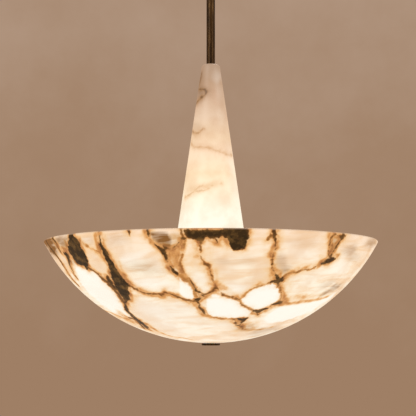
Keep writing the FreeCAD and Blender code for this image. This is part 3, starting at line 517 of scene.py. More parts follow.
def cell_fields(flat, cells):
    """How amber, smoky and bright each point of the front drawing is from the cells alone."""
    tones = np.zeros((len(flat), 3))
    for amber, smoke, bright, outline in cells.values():
        ring = smoothed(outline, closed=True)
        low, high = ring.min(axis=0) - CELL_REACH_MM, ring.max(axis=0) + CELL_REACH_MM
        near = np.flatnonzero(((flat > low) & (flat < high)).all(axis=1))
        points = flat[near]
        edge = np.full(len(near), CELL_REACH_MM)
        inside = np.zeros(len(near), dtype=bool)
        for start, end in zip(ring, ring[1:]):
            edge = np.minimum(edge, away_from(points, start, end)[0])
            between = (start[1] > points[:, 1]) != (end[1] > points[:, 1])
            run = (end[1] - start[1]) or 1e-9
            crossing = start[0] + (points[:, 1] - start[1]) * (end[0] - start[0]) / run
            inside ^= between & (points[:, 0] < crossing)
        first, last = CRISP_EDGE_MM if bright > 0.5 else SOFT_EDGE_MM
        share = np.clip((np.where(inside, edge, -edge) - first) / (last - first), 0, 1)
        share = share * share * (3 - 2 * share)
        tones[near] = np.maximum(tones[near], share[:, None] * (amber, smoke, bright))
    return tones.T


def soft_patches(flat, patches):
    """Sum of soft oval patches of the front drawing."""
    total = np.zeros(len(flat))
    for across, down, width, height, turn, amount in patches:
        x, y = flat[:, 0] - across, flat[:, 1] - down
        cosine, sine = math.cos(math.radians(turn)), math.sin(math.radians(turn))
        reach = ((x * cosine + y * sine) / width) ** 2 + ((y * cosine - x * sine) / height) ** 2
        total += amount * np.exp(-0.7 * reach ** 1.5)
    return np.clip(total, 0, 1.4)


def shaken(points, *waves):
    """Points moved by smooth noise, so that the listed veins get a natural edge."""
    for amount_mm, grain_mm in waves:
        moved = np.array([noise.noise_vector(Vector(point) / grain_mm) for point in points])
        points = points + moved * amount_mm
    return points


# ---------------------------------------------------------------- turned meshes
def arc(centre_r, centre_z, radius, first, last, count):
    """Points (radius, level) of an arc; angles in degrees from outwards, upwards positive."""
    angles = np.radians(np.linspace(first, last, count))
    return [(centre_r + radius * math.cos(a), centre_z + radius * math.sin(a)) for a in angles]


def front_angles(front_steps, back_steps, half_front=100):
    """Directions round the axis, closer together on the side that faces the camera."""
    front = np.linspace(-90 - half_front, -90 + half_front, front_steps, endpoint=False)
    back = np.linspace(-90 + half_front, 270 - half_front, back_steps, endpoint=False)
    return np.radians(np.concatenate([front, back]))


def add_piece(name, mesh):
    """Put a mesh into the scene as one smooth piece."""
    mesh.shade_smooth()
    piece = bpy.data.objects.new(name, mesh)
    bpy.context.scene.collection.objects.link(piece)
    return piece


def lathe(name, outline, angles):
    """Closed section turned about Z: (radius, level) points, counter-clockwise."""
    mesh = bpy.data.meshes.new(name)
    turn = len(angles)
    verts = [(radius * math.cos(a), radius * math.sin(a), level)
             for radius, level in outline for a in angles]
    faces = []
    for low in range(len(outline)):
        high = (low + 1) % len(outline)
        for step in range(turn):
            following = (step + 1) % turn
            faces.append((low * turn + step, low * turn + following,
                          high * turn + following, high * turn + step))
    mesh.from_pydata(verts, [], faces)
    return add_piece(name, mesh)


def refine(piece, depth_of, reaches):
    """Split the faces near veins, so that the thinnest vein is drawn without gaps."""
    form = bmesh.new()
    form.from_mesh(piece.data)
    for reach in reaches:
        near = depth_of(np.array([vert.co for vert in form.verts]) / MM) > -reach
        edges = [edge for edge in form.edges
                 if near[edge.verts[0].index] and near[edge.verts[1].index]]
        bmesh.ops.subdivide_edges(form, edges=edges, cuts=1, use_grid_fill=True)
        form.verts.index_update()
    form.to_mesh(piece.data)
    form.free()
    piece.data.shade_smooth()


def vertex_points(piece):
    """All vertices of a piece, in millimetres."""
    points = np.empty(len(piece.data.vertices) * 3)
    piece.data.vertices.foreach_get("co", points)
    return points.reshape(-1, 3) / MM


def keep_values(piece, **fields):
    """Store one number per vertex under each name for the material to read."""
    for name, values in fields.items():
        layer = piece.data.attributes.new(name, "FLOAT", "POINT")
        layer.data.foreach_set("value", np.asarray(values, dtype=np.float32))


def laid_share(points):
    """1 where the front drawing holds, down to 0 on the sides that it doesn't show."""
    heading = np.degrees(np.arctan2(points[:, 0], -points[:, 1]))
    return np.clip((106 - np.abs(heading)) / 14, 0, 1)


# ---------------------------------------------------------------- the alabaster bowl
def bowl_outline():
    """Section of the bowl: underside, lip, inside and centre hole."""
    drop = SPHERE_CENTRE - RIM_LEVEL + BOWL_LIP
    outer_lip = math.sqrt((BOWL_SPHERE - BOWL_LIP) ** 2 - drop ** 2)
    inner_lip = math.sqrt((INNER_SPHERE + BOWL_LIP) ** 2 - drop ** 2)
    lip_level = RIM_LEVEL - BOWL_LIP
    outer_end = -math.degrees(math.atan2(drop, outer_lip))
    inner_end = -math.degrees(math.atan2(drop, inner_lip))
    outer_start = -math.degrees(math.acos(FINIAL_RADIUS / BOWL_SPHERE))
    inner_start = -math.degrees(math.acos(BOWL_FLAT / INNER_SPHERE))
    outside = arc(0, SPHERE_CENTRE, BOWL_SPHERE, outer_start, outer_end, 98)
    lip_out = arc(outer_lip, lip_level, BOWL_LIP, outer_end, 90, 6)
    lip_in = arc(inner_lip, lip_level, BOWL_LIP, 90, 180 + inner_end, 6)
    inside = arc(0, SPHERE_CENTRE, INNER_SPHERE, inner_end, inner_start, 56)
    hole = [(BOWL_HOLE, inside[-1][1]), (BOWL_HOLE, outside[0][1])]
    return outside + lip_out[1:] + lip_in + inside[1:] + hole


def bowl_skin(points):
    """The point of the bowl's outer face over each point of its wall."""
    centre = np.array((0, 0, SPHERE_CENTRE / MM))
    spokes = points - centre
    return centre + spokes * (BOWL_SPHERE / MM / np.linalg.norm(spokes, axis=1))[:, None]


def make_bowl():
    bowl = lathe("alabaster_bowl", bowl_outline(), front_angles(262, 70))
    placed = placed_veins(BOWL_VEINS, bowl_radius_at)
    centre = np.array((0, 0, SPHERE_CENTRE / MM))

    def outer_depth(points):
        depth = vein_fields(shaken(bowl_skin(points), *VEIN_SHAKE), placed)[0]
        inner = np.linalg.norm(points - centre, axis=1) < (BOWL_SPHERE - BOWL_LIP) / MM
        return np.where(inner, -VEIN_REACH_MM, depth)

    refine(bowl, outer_depth, (6.5, 2.6))
    points = vertex_points(bowl)
    skin = bowl_skin(points)
    rough = shaken(skin, *VEIN_SHAKE)
    depth, dark = vein_fields(rough, placed)
    stain = vein_fields(rough, placed_veins(BOWL_STAINS, bowl_radius_at))[0]
    amber, smoke, bright = cell_fields(on_drawing(rough), BOWL_CELLS)
    soft = on_drawing(shaken(skin, (3.0, 18.0)))
    lean = vein_fields(shaken(skin, *HALO_SHAKE), placed)[0]
    # seen from inside, the wall blurs its veins
    through = np.clip((BOWL_SPHERE / MM - np.linalg.norm(points - centre, axis=1))
                      / (BOWL_WALL / MM), 0, 1)
    keep_values(bowl, vein_depth=depth * (1 - 0.5 * through), vein_dark=dark,
                halo_depth=lean, stain_depth=stain, cell=bright,
                smoke=np.maximum(smoke, soft_patches(soft, BOWL_SMOKE)),
                amber=np.maximum(amber, soft_patches(soft, BOWL_AMBER)),
                bright=np.maximum(bright, soft_patches(soft, BOWL_BRIGHT)),
                laid=laid_share(points))
    bowl.data.materials.append(lit_bowl_alabaster())
    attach(bowl, "bowl")
    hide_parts("bowl")


# ---------------------------------------------------------------- the conical shade
def cone_outline():
    """Section of the conical shade: outside, rounded shoulder, bore and cavity."""
    slope = (CONE_BASE_RADIUS - CONE_TOP_RADIUS) / (CONE_TOP - CONE_BASE)
    shoulder = CONE_TOP - CONE_SHOULDER
    low = CONE_BASE + CONE_FOOT
    outside = [(CONE_BASE_RADIUS - slope * (level - CONE_BASE), level)
               for level in np.linspace(low, shoulder, 120)]
    foot = arc(outside[0][0] - CONE_FOOT, low, CONE_FOOT, -90, 0, 4)
    top = arc(outside[-1][0] - CONE_SHOULDER, shoulder, CONE_SHOULDER, 0, 90, 8)
    cavity_top = CONE_TOP - CONE_CAP
    cavity = [(CONE_BASE_RADIUS - slope * (level - CONE_BASE) - CONE_WALL, level)
              for level in np.linspace(cavity_top, CONE_BASE, 30)]
    return foot + outside[1:] + top[1:] + [(CONE_BORE, CONE_TOP), (CONE_BORE, cavity_top)] + cavity


def make_cone():
    cone = lathe("alabaster_cone", cone_outline(), front_angles(120, 40))
    placed = placed_veins(CONE_VEINS, cone_radius_at)
    refine(cone, lambda points: vein_fields(shaken(points, *VEIN_SHAKE), placed)[0], (6.0, 2.4))
    points = vertex_points(cone)
    depth, dark = vein_fields(shaken(points, *VEIN_SHAKE), placed)
    soft = on_drawing(shaken(points, (3.0, 12.0)))
    keep_values(cone, vein_depth=depth, vein_dark=dark,
                height_share=(points[:, 2] * MM - CONE_BASE) / (CONE_TOP - CONE_BASE),
                smoke=soft_patches(soft, CONE_PAINTED_SHADE), amber=soft_patches(soft, CONE_AMBER),
                bright=soft_patches(soft, CONE_PAINTED_HIGHLIGHT), laid=laid_share(points))
    cone.data.materials.append(lit_cone_alabaster())
    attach(cone, "conical_shade")
    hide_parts("cone_shade")


# ---------------------------------------------------------------- materials
def linear(code):
    """Linear colour from an sRGB hex code."""
    parts = [int(code[place:place + 2], 16) / 255 for place in (1, 3, 5)]
    curve = [c / 12.92 if c <= 0.04045 else ((c + 0.055) / 1.055) ** 2.4 for c in parts]
    return (*curve, 1.0)


def add(tree, kind, inputs=None, out=0, stops=(), **settings):
    """Add one node with its settings, and with values or links at its inputs."""
    made = tree.nodes.new("ShaderNode" + kind)
    for name, setting in settings.items():
        setattr(made, name, setting)
    for socket, source in (inputs or {}).items():
        if isinstance(source, bpy.types.NodeSocket):
            tree.links.new(source, made.inputs[socket])
        else:
            made.inputs[socket].default_value = source
    for number, (place, code) in enumerate(stops):
        elements = made.color_ramp.elements
        element = elements[number] if number < 2 else elements.new(place)
        element.position, element.color = place, linear(code)
    return made.outputs[out]


def new_material(name, **surface):
    """Material with one Principled surface; uniform values go on its own sockets."""
    material = bpy.data.materials.new(name)
    material.use_nodes = True
    tree = material.node_tree
    shader = tree.nodes["Principled BSDF"]
    for socket, setting in surface.items():
        shader.inputs[socket.replace("_", " ")].default_value = setting
    return material, tree, shader


# Share of a lit stone's colour that it sends out itself as painted glow, and that it only reflects.
STONE_GLOW = 0.80
STONE_ALBEDO = 0.28


def stone_glow_and_face(tree, shader, place, colour):
    """Send the stone's colour to its glow, painted light standing for the lamplight that
    comes through the stone, and, dimmed, to its own polished face.
    """
    face = add(tree, "Mix", {0: 1.0, 6: colour, 7: (STONE_ALBEDO,) * 3 + (1.0,)}, out=2,
               data_type="RGBA", blend_type="MULTIPLY")
    tree.links.new(face, shader.inputs["Base Color"])
    tree.links.new(colour, shader.inputs["Emission Color"])
    shader.inputs["Emission Strength"].default_value = STONE_GLOW
    pits = add(tree, "TexNoise", {"Vector": place, "Scale": 1 / (9 * MM), "Detail": 2.0})
    relief = add(tree, "Bump", {"Strength": 0.08, "Distance": 0.4 * MM, "Height": pits})
    tree.links.new(relief, shader.inputs["Normal"])


def stone_veins(tree, place, cell_mm, widest_mm, contrast):
    """Vein depth of the whole stone: listed veins on the front, which run on into a network
    of cells on the sides that the photograph doesn't show. Also gives each cell's own tones."""
    warp = add(tree, "TexNoise", {"Vector": place, "Scale": 1 / (60 * MM), "Detail": 4.0},
               out="Color")
    warp = add(tree, "VectorMath", {0: warp, 1: (0.5, 0.5, 0.5)}, operation="SUBTRACT")
    bent = add(tree, "VectorMath", {0: warp, 1: (0.06, 0.06, 0.06), 2: place},
               operation="MULTIPLY_ADD")
    scale = 1 / (cell_mm * MM)
    edge = add(tree, "TexVoronoi", {"Vector": bent, "Scale": scale, "Randomness": 0.95},
               out="Distance", feature="DISTANCE_TO_EDGE")
    edge = add(tree, "Math", {0: edge, 1: cell_mm}, operation="MULTIPLY")
    cell = add(tree, "TexVoronoi", {"Vector": bent, "Scale": scale, "Randomness": 0.95},
               out="Color", feature="F1")
    swell = add(tree, "TexNoise", {"Vector": place, "Scale": 1 / (75 * MM), "Detail": 1.0})
    width = add(tree, "MapRange", {0: swell, 1: 0.34, 2: 0.70, 3: -3.5, 4: widest_mm})
    network = add(tree, "Math", {0: width, 1: edge}, operation="SUBTRACT")
    network_dark = add(tree, "MapRange", {0: swell, 1: 0.40, 2: 0.62, 3: 0.3, 4: 1.0})

    laid = add(tree, "Attribute", out="Fac", attribute_name="laid")
    depth = add(tree, "Attribute", out="Fac", attribute_name="vein_depth")
    dark = add(tree, "Attribute", out="Fac", attribute_name="vein_dark")
    depth = add(tree, "Mix", {0: laid, 2: network, 3: depth})
    dark = add(tree, "Mix", {0: laid, 2: network_dark, 3: dark})
    # crystals of about 4 mm fray every edge, and knots of about 9 mm swell the thin veins
    fray = add(tree, "TexNoise", {"Vector": place, "Scale": 1 / (4 * MM), "Detail": 3.0,
                                  "Roughness": 0.6})
    knots = add(tree, "TexNoise", {"Vector": place, "Scale": 1 / (9 * MM), "Detail": 1.0})
    fray = add(tree, "MapRange", {0: fray, 1: 0.25, 2: 0.75, 3: -1.2, 4: 1.1})
    knots = add(tree, "MapRange", {0: knots, 1: 0.3, 2: 0.7, 3: -1.2, 4: 1.0})
    depth = add(tree, "Math", {0: depth, 1: fray}, operation="ADD")
    depth = add(tree, "Math", {0: depth, 1: knots}, operation="ADD")

    front = [add(tree, "Attribute", out="Fac", attribute_name=name)
             for name in ("amber", "smoke", "bright")]
    front = add(tree, "CombineXYZ", dict(enumerate(front)))
    back = add(tree, "VectorMath", {0: cell, 1: (1.6 * contrast, 1.3 * contrast, 1.6 * contrast),
                                    2: (-0.95 * contrast, -0.85 * contrast, -0.7 * contrast)},
               operation="MULTIPLY_ADD")
    back = add(tree, "VectorMath", {0: back, 1: (0.0, 0.0, 0.0)}, operation="MAXIMUM")
    tones = add(tree, "Mix", {0: laid, 4: back, 5: front}, out=1, data_type="VECTOR")
    tones = [add(tree, "SeparateXYZ", {0: tones}, out=axis) for axis in range(3)]
    return depth, dark, tones


def halo_of(tree, depth, reach):
    """Amber stain that fades with the distance from a vein."""
    outside = add(tree, "Math", {0: depth, 1: 0.0}, operation="MINIMUM")
    share = add(tree, "Math", {0: outside, 1: reach}, operation="DIVIDE")
    return add(tree, "Math", {0: math.e, 1: share}, operation="POWER")


def lit_bowl_alabaster():
    """Polished veined alabaster with lamps behind it: cream cells glow between iron-brown
    veins, and the iron has spread into the stone in amber clouds beside them."""
    material, tree, shader = new_material("glowing_polished_alabaster_bowl", Roughness=0.40, IOR=1.5,
                                          Specular_IOR_Level=0.15)
    place = add(tree, "TexCoord", out="Object")
    depth, dark, (amber, smoke, bright) = stone_veins(tree, place, 62.0, 7.0, 1.0)

    # iron stain: it leans to one side of its vein, strong in places and absent in others
    lean = add(tree, "Attribute", out="Fac", attribute_name="halo_depth")
    laid = add(tree, "Attribute", out="Fac", attribute_name="laid")
    lean = add(tree, "Mix", {0: laid, 2: depth, 3: lean})
    near = add(tree, "Math", {0: halo_of(tree, lean, 3.6), 1: 0.54}, operation="MULTIPLY")
    halo = add(tree, "Math", {0: halo_of(tree, lean, 11.0), 1: 0.46, 2: near},
               operation="MULTIPLY_ADD")
    patchy = add(tree, "TexNoise", {"Vector": place, "Scale": 1 / (26 * MM), "Detail": 2.0})
    patchy = add(tree, "MapRange", {0: patchy, 1: 0.36, 2: 0.64, 3: 0.30, 4: 1.1})
    strength = add(tree, "MapRange", {0: dark, 1: 0.2, 2: 0.9, 3: 0.50, 4: 0.82})
    strength = add(tree, "Math", {0: strength, 1: patchy}, operation="MULTIPLY")
    cell = add(tree, "Attribute", out="Fac", attribute_name="cell")
    clear = add(tree, "MapRange", {0: cell, 3: 1.0, 4: 0.25})
    strength = add(tree, "Math", {0: strength, 1: clear}, operation="MULTIPLY")
    halo = add(tree, "Math", {0: halo, 1: strength}, operation="MULTIPLY")
    fringe = add(tree, "Math", {0: halo_of(tree, depth, 1.6), 1: 0.55}, operation="MULTIPLY")
    glow = add(tree, "Math", {0: halo_of(tree, depth, 13.0), 1: 0.27}, operation="MULTIPLY")
    stain = halo_of(tree, add(tree, "Attribute", out="Fac", attribute_name="stain_depth"), 4.0)
    stain = add(tree, "Math", {0: stain, 1: 0.5}, operation="MULTIPLY")
    for other in (stain, fringe):
        halo = add(tree, "Math", {0: halo, 1: other}, operation="MAXIMUM")
    halo = add(tree, "Math", {0: halo, 1: glow}, operation="ADD")
    halo = add(tree, "Math", {0: halo, 1: 0.64}, operation="MINIMUM")
    amber = add(tree, "Math", {0: amber, 1: 0.72}, operation="MULTIPLY")
    amber = add(tree, "Math", {0: amber, 1: halo}, operation="MAXIMUM")
    mottle = add(tree, "TexNoise", {"Vector": place, "Scale": 1 / (11 * MM), "Detail": 4.0})
    mottle = add(tree, "MapRange", {0: mottle, 1: 0.3, 2: 0.7, 3: 0.62, 4: 1.16})
    amber = add(tree, "Math", {0: amber, 1: mottle}, operation="MULTIPLY", use_clamp=True)

    # the stone's beds: long streaks 7 mm thick, almost level, and clouds of 55 mm
    beds = add(tree, "Mapping", {"Vector": place, "Rotation": (0.0, math.radians(-5), 0.0),
                                 "Scale": (48 * MM, 48 * MM, 7 * MM)}, vector_type="TEXTURE")
    beds = add(tree, "TexNoise", {"Vector": beds, "Scale": 1.0, "Detail": 4.0,
                                  "Roughness": 0.55, "Distortion": 0.5})
    beds = add(tree, "MapRange", {0: beds, 1: 0.40, 2: 0.70, 3: 0.0, 4: 0.72},
               interpolation_type="SMOOTHSTEP")
    cloud = add(tree, "TexNoise", {"Vector": place, "Scale": 1 / (55 * MM), "Detail": 3.0})
    cloud = add(tree, "MapRange", {0: cloud, 1: 0.40, 2: 0.68, 3: 0.0, 4: 0.7},
                interpolation_type="SMOOTHSTEP")
    level = add(tree, "SeparateXYZ", {0: place}, out="Z")
    # painted light: the stone is painted whiter and brighter towards the bottom, nearer the lamps,
    # and peachier and dimmer towards the rim
    height = add(tree, "MapRange", {0: level, 1: BOWL_BOTTOM + 0.03, 2: RIM_LEVEL})
    stone = add(tree, "ValToRGB", {"Fac": height},
                stops=((0.0, "#FFF4E0"), (1.0, "#FADFC4"), (0.55, "#FFF2DA")))
    stone = add(tree, "Mix", {0: beds, 6: stone, 7: linear("#F3CA9C")}, out=2, data_type="RGBA")
    stone = add(tree, "Mix", {0: cloud, 6: stone, 7: linear("#EBC39A")}, out=2, data_type="RGBA")
    stone = add(tree, "Mix", {0: bright, 6: stone, 7: linear("#FFFBF0")}, out=2,
                data_type="RGBA")
    stained = add(tree, "ValToRGB", {"Fac": amber},
                  stops=((0.12, "#F9DDB2"), (1.0, "#2E1C0F"), (0.36, "#F0C186"),
                         (0.55, "#D99854"), (0.72, "#A5632B"), (0.86, "#6B3F1B")))
    share = add(tree, "MapRange", {0: amber, 1: 0.08, 2: 0.52, 3: 0.0, 4: 0.96},
                interpolation_type="SMOOTHSTEP")
    stone = add(tree, "Mix", {0: share, 6: stone, 7: stained}, out=2, data_type="RGBA")

    smoke_share = add(tree, "MapRange", {0: beds, 2: 0.72, 3: 0.70, 4: 1.35})
    smoke = add(tree, "Math", {0: smoke, 1: smoke_share}, operation="MULTIPLY", use_clamp=True)
    stone = add(tree, "Mix", {0: smoke, 6: stone, 7: linear("#8A5C2E")}, out=2, data_type="RGBA")

    # the veins' cores: faint rust where thin, near-black and mottled where wide
    core = add(tree, "MapRange", {0: depth, 1: -1.0, 2: 1.1}, interpolation_type="SMOOTHSTEP")
    opaque = add(tree, "MapRange", {0: dark, 1: 0.0, 2: 0.7, 3: 0.5, 4: 1.0})
    core = add(tree, "Math", {0: core, 1: opaque}, operation="MULTIPLY")
    thick = add(tree, "MapRange", {0: depth, 1: 0.5, 2: 4.5, 3: -0.20, 4: 0.15})
    deep = add(tree, "Math", {0: dark, 1: thick}, operation="ADD", use_clamp=True)
    core_tone = add(tree, "ValToRGB", {"Fac": deep},
                    stops=((0.05, "#BC7C3A"), (1.0, "#332108"), (0.35, "#8E5824"),
                           (0.6, "#613B15"), (0.8, "#452C10")))
    blotch = add(tree, "TexNoise", {"Vector": place, "Scale": 1 / (13 * MM), "Detail": 5.0,
                                    "Roughness": 0.65})
    blotch = add(tree, "MapRange", {0: blotch, 1: 0.46, 2: 0.70, 3: 0.0, 4: 0.65})
    core_tone = add(tree, "Mix", {0: blotch, 6: core_tone, 7: linear("#87602F")}, out=2,
                    data_type="RGBA")
    colour = add(tree, "Mix", {0: core, 6: stone, 7: core_tone}, out=2, data_type="RGBA")

    # the polished lip catches the room's light over the whole rim
    lip = add(tree, "MapRange", {0: level, 1: RIM_LEVEL - 2.4 * MM, 2: RIM_LEVEL - 0.4 * MM,
                                 3: 0.0, 4: 0.6})
    colour = add(tree, "Mix", {0: lip, 6: colour, 7: linear("#B79A80")}, out=2,
                 data_type="RGBA")
    stone_glow_and_face(tree, shader, place, colour)
    return material


def lit_cone_alabaster():
    """Polished alabaster, clearer than the bowl: it glows near the lamps and dims to a
    pinkish grey at its top, with a few thin brown threads."""
    material, tree, shader = new_material("glowing_polished_alabaster_cone", Roughness=0.46, IOR=1.45,
                                          Specular_IOR_Level=0.35)
    place = add(tree, "TexCoord", out="Object")
    depth, dark, (amber, smoke, bright) = stone_veins(tree, place, 95.0, 0.4, 0.35)
    share = add(tree, "Attribute", out="Fac", attribute_name="height_share")
    stone = add(tree, "ValToRGB", {"Fac": share},
                stops=((0.0, "#FFFCF0"), (1.0, "#B3977F"), (0.24, "#FDF6E2"),
                       (0.34, "#FDEED2"), (0.44, "#FCE3BF"), (0.54, "#FADEBF"),
                       (0.62, "#EED0AD"), (0.73, "#E0C2A5"), (0.84, "#CEAC8F"),
                       (0.90, "#BD9A7C")))
    cloud = add(tree, "TexNoise", {"Vector": place, "Scale": 1 / (30 * MM), "Detail": 3.0})
    cloud = add(tree, "MapRange", {0: cloud, 1: 0.40, 2: 0.75, 3: 0.0, 4: 0.35})
    stone = add(tree, "Mix", {0: cloud, 6: stone, 7: linear("#D9B08A")}, out=2,
                data_type="RGBA", blend_type="MULTIPLY")
    # on the front, the painted highlight along the cone's right edge; on the other sides, the cells'
    # own random bright tone
    bright = add(tree, "Math", {0: bright, 1: 0.5}, operation="MULTIPLY")
    stone = add(tree, "Mix", {0: bright, 6: stone, 7: linear("#FFF8EC")}, out=2,
                data_type="RGBA")
    # on the front, the painted shade on the cone's upper left and top; on the other sides, the
    # cells' own random smoky tone
    stone = add(tree, "Mix", {0: smoke, 6: stone, 7: linear("#957860")}, out=2,
                data_type="RGBA")
    # a thread's stain is darker where less light comes through the stone
    strength = add(tree, "MapRange", {0: dark, 3: 0.55, 4: 1.0})
    halo = add(tree, "Math", {0: halo_of(tree, depth, 3.4), 1: strength}, operation="MULTIPLY")
    amber = add(tree, "Math", {0: amber, 1: halo}, operation="MAXIMUM", use_clamp=True)
    stain = add(tree, "ValToRGB", {"Fac": share},
                stops=((0.2, "#F0BE82"), (1.0, "#7C5C40"), (0.6, "#C8935A")))
    stone = add(tree, "Mix", {0: amber, 6: stone, 7: stain}, out=2, data_type="RGBA")
    core = add(tree, "MapRange", {0: depth, 1: -0.6, 2: 1.6, 3: 0.0, 4: 1.0},
               interpolation_type="SMOOTHSTEP")
    core = add(tree, "Math", {0: core, 1: dark}, operation="MULTIPLY")
    colour = add(tree, "Mix", {0: core, 6: stone, 7: linear("#6B4C33")}, out=2,
                 data_type="RGBA")
    stone_glow_and_face(tree, shader, place, colour)
    return material


def new_finish(name, tones, grain_mm, roughness, relief, along=(1, 1, 1), **surface):
    """Material whose colour, roughness and relief follow one grain of a real size."""
    material, tree, shader = new_material(name, **surface)
    place = add(tree, "TexCoord", out="Object")
    grain_places = add(tree, "VectorMath", {0: place, 1: [step / (grain_mm * MM) for step in along]},
                       operation="MULTIPLY")
    grain = add(tree, "TexNoise", {"Vector": grain_places, "Scale": 1.0, "Detail": 5.0,
                                   "Roughness": 0.62})
    fine = add(tree, "TexNoise", {"Vector": grain_places, "Scale": 4.0, "Detail": 3.0})
    colour = add(tree, "ValToRGB", {"Fac": grain},
                 stops=((0.30, tones[0]), (0.72, tones[2]), (0.50, tones[1])))
    tree.links.new(colour, shader.inputs["Base Color"])
    rough = add(tree, "MapRange", {0: fine, 1: 0.3, 2: 0.7, 3: roughness[0], 4: roughness[1]})
    tree.links.new(rough, shader.inputs["Roughness"])
    bump = add(tree, "Bump", {"Strength": relief, "Distance": 0.3 * MM, "Height": fine})
    tree.links.new(bump, shader.inputs["Normal"])
    return material


def make_finishes():
    """One material for each finish of the hidden and metal parts, by the record's slot."""
    return {
        # brass tube blackened and waxed: near-black brown, drawn streaks along the stem
        "aged_bronze": new_finish("waxed_dark_bronze", ("#1D1308", "#3D2A14", "#6E532F"), 5.0,
                                  (0.30, 0.48), 0.12, (1, 1, 0.12), Metallic=0.85),
        # bright zinc plate on rolled steel: cool pale grey with a faint yellow passivation
        "zinc_steel": new_finish("zinc_plated_steel", ("#8C8F92", "#B3B5B6", "#C9C6BC"), 3.5,
                                 (0.28, 0.46), 0.10, Metallic=1.0),
        # green-dyed zinc marks the earth screw
        "green_ground_screw": new_finish("green_dyed_zinc", ("#1D5A2C", "#2B7A3E", "#4F9A5E"),
                                         2.0, (0.30, 0.50), 0.10, Metallic=0.6),
        # baked white enamel: smooth with slight orange peel, and throws light upwards
        "white_enamel": new_finish("baked_white_enamel", ("#E4DFD4", "#F1EDE5", "#F8F5EF"), 2.2,
                                   (0.22, 0.32), 0.16, IOR=1.5),
        # machined natural nylon: ivory, slightly waxy
        "nylon": new_finish("natural_nylon", ("#D3CCBA", "#E0DACA", "#EAE5D8"), 1.6,
                            (0.42, 0.55), 0.10, IOR=1.53, Subsurface_Weight=0.2),
        # moulded silicone: milky and matt, dust clings to it
        "silicone": new_finish("milky_silicone", ("#BDB8AE", "#CFCBC2", "#DBD8D0"), 1.2,
                               (0.50, 0.68), 0.20, IOR=1.41, Subsurface_Weight=0.3),
        # extruded PVC sheath: matt white with fine lengthwise lines
        "flex_sheath": new_finish("white_pvc_sheath", ("#CFCABE", "#DDD9CF", "#E8E5DD"), 1.5,
                                  (0.45, 0.58), 0.15, (1, 1, 0.08), IOR=1.53),
        # glazed porcelain: warm white, glassy, with tiny iron specks
        "porcelain": new_finish("glazed_porcelain", ("#CFC6B4", "#EFEAE0", "#F6F3EC"), 1.4,
                                (0.08, 0.16), 0.05, IOR=1.52, Coat_Weight=0.5),
        # bronze-coloured paint on drawn steel: fine metallic flake
        "holder_shell": new_finish("bronze_flake_paint", ("#2C2015", "#40301F", "#5B4733"), 0.8,
                                   (0.34, 0.46), 0.12, Metallic=0.5),
        # nickel-brass of a lamp's screw cap: bright, finely brushed round
        "lamp_brass": new_finish("nickel_brass", ("#A28F68", "#C2B189", "#D8CBA8"), 1.2,
                                 (0.22, 0.36), 0.12, Metallic=1.0),
        # moulded polycarbonate lamp body: warm white satin
        "lamp_housing": new_finish("satin_polycarbonate", ("#E2DDD3", "#ECE8E0", "#F3F0EA"),
                                   1.0, (0.36, 0.48), 0.14, IOR=1.58),
        "opal_glass": lit_opal_glass(),
    }


def lit_opal_glass():
    """Opal glass of a lamp that is on: white with soft clouds of a warmer tone, with the
    glossy skin of blown glass."""
    material, tree, shader = new_material("opal_glass_lit", Roughness=0.16, IOR=1.5)
    place = add(tree, "TexCoord", out="Object")
    wave = add(tree, "TexNoise", {"Vector": place, "Scale": 1 / (14 * MM), "Detail": 1.0})
    glow = add(tree, "ValToRGB", {"Fac": wave},
               stops=((0.30, "#FFEBC8"), (0.70, "#FFF7E6"), (0.50, "#FFF1D8")))
    tree.links.new(glow, shader.inputs["Emission Color"])
    tree.links.new(glow, shader.inputs["Base Color"])
    shader.inputs["Emission Strength"].default_value = 1.0
    return material


def dress_frame(finishes):
    """Give every CAD solid that stays its real finish."""
    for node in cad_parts.values():
        for place in node.material_slots:
            slot = place.material.name.split(".")[0] if place.material else "aged_bronze"
            if slot in finishes:
                place.material = finishes[slot]


# ---------------------------------------------------------------- repeated details
LAMP_TILT = math.radians(10)
LAMP_TURNS = (90, 210, 330)
LAMP_LEVEL = (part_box("hub_cup")[0][2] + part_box("hub_lid")[0][2]) / 2
CAP_START, CAP_RADIUS, CAP_THREAD_LENGTH, CAP_PITCH = 0.055, 0.0130, 0.0205, 0.00362
BODY_START, BODY_BASE, BODY_NECK, BODY_LENGTH = 0.079, 0.0145, 0.024, 0.030
BODY_RIBS, FINIAL_TEETH = 30, 84
ROD_RADIUS, ROD_PITCH = 0.005, 0.001


def node_tree(name, **inputs):
    """Geometry tree with named number inputs; gives its nodes' adder and its sockets."""
    tree = bpy.data.node_groups.new(name, "GeometryNodeTree")
    tree.interface.new_socket("Geometry", in_out="OUTPUT", socket_type="NodeSocketGeometry")
    for title, kind in inputs.items():
        tree.interface.new_socket(title, in_out="INPUT", socket_type="NodeSocket" + kind)
    tree.interface.new_socket("Material", in_out="INPUT", socket_type="NodeSocketMaterial")
    return tree, tree.nodes.new("NodeGroupInput").outputs


def put(tree, kind, inputs=None, out=0, **settings):
    """Add one geometry node with its settings, and with values or links at its inputs."""
    made = tree.nodes.new(kind)
    for name, setting in settings.items():
        setattr(made, name, setting)
    for socket, source in (inputs or {}).items():
        if isinstance(source, bpy.types.NodeSocket):
            tree.links.new(source, made.inputs[socket])
        else:
            made.inputs[socket].default_value = source
    return made.outputs[out]


def end_tree(tree, shape, material):
    """Realize what a tree has instanced, give it its material and send it out."""
    shape = put(tree, "GeometryNodeRealizeInstances", {0: shape})
    shape = put(tree, "GeometryNodeSetMaterial", {"Geometry": shape, "Material": material})
    tree.links.new(shape, tree.nodes.new("NodeGroupOutput").inputs[0])
    return tree


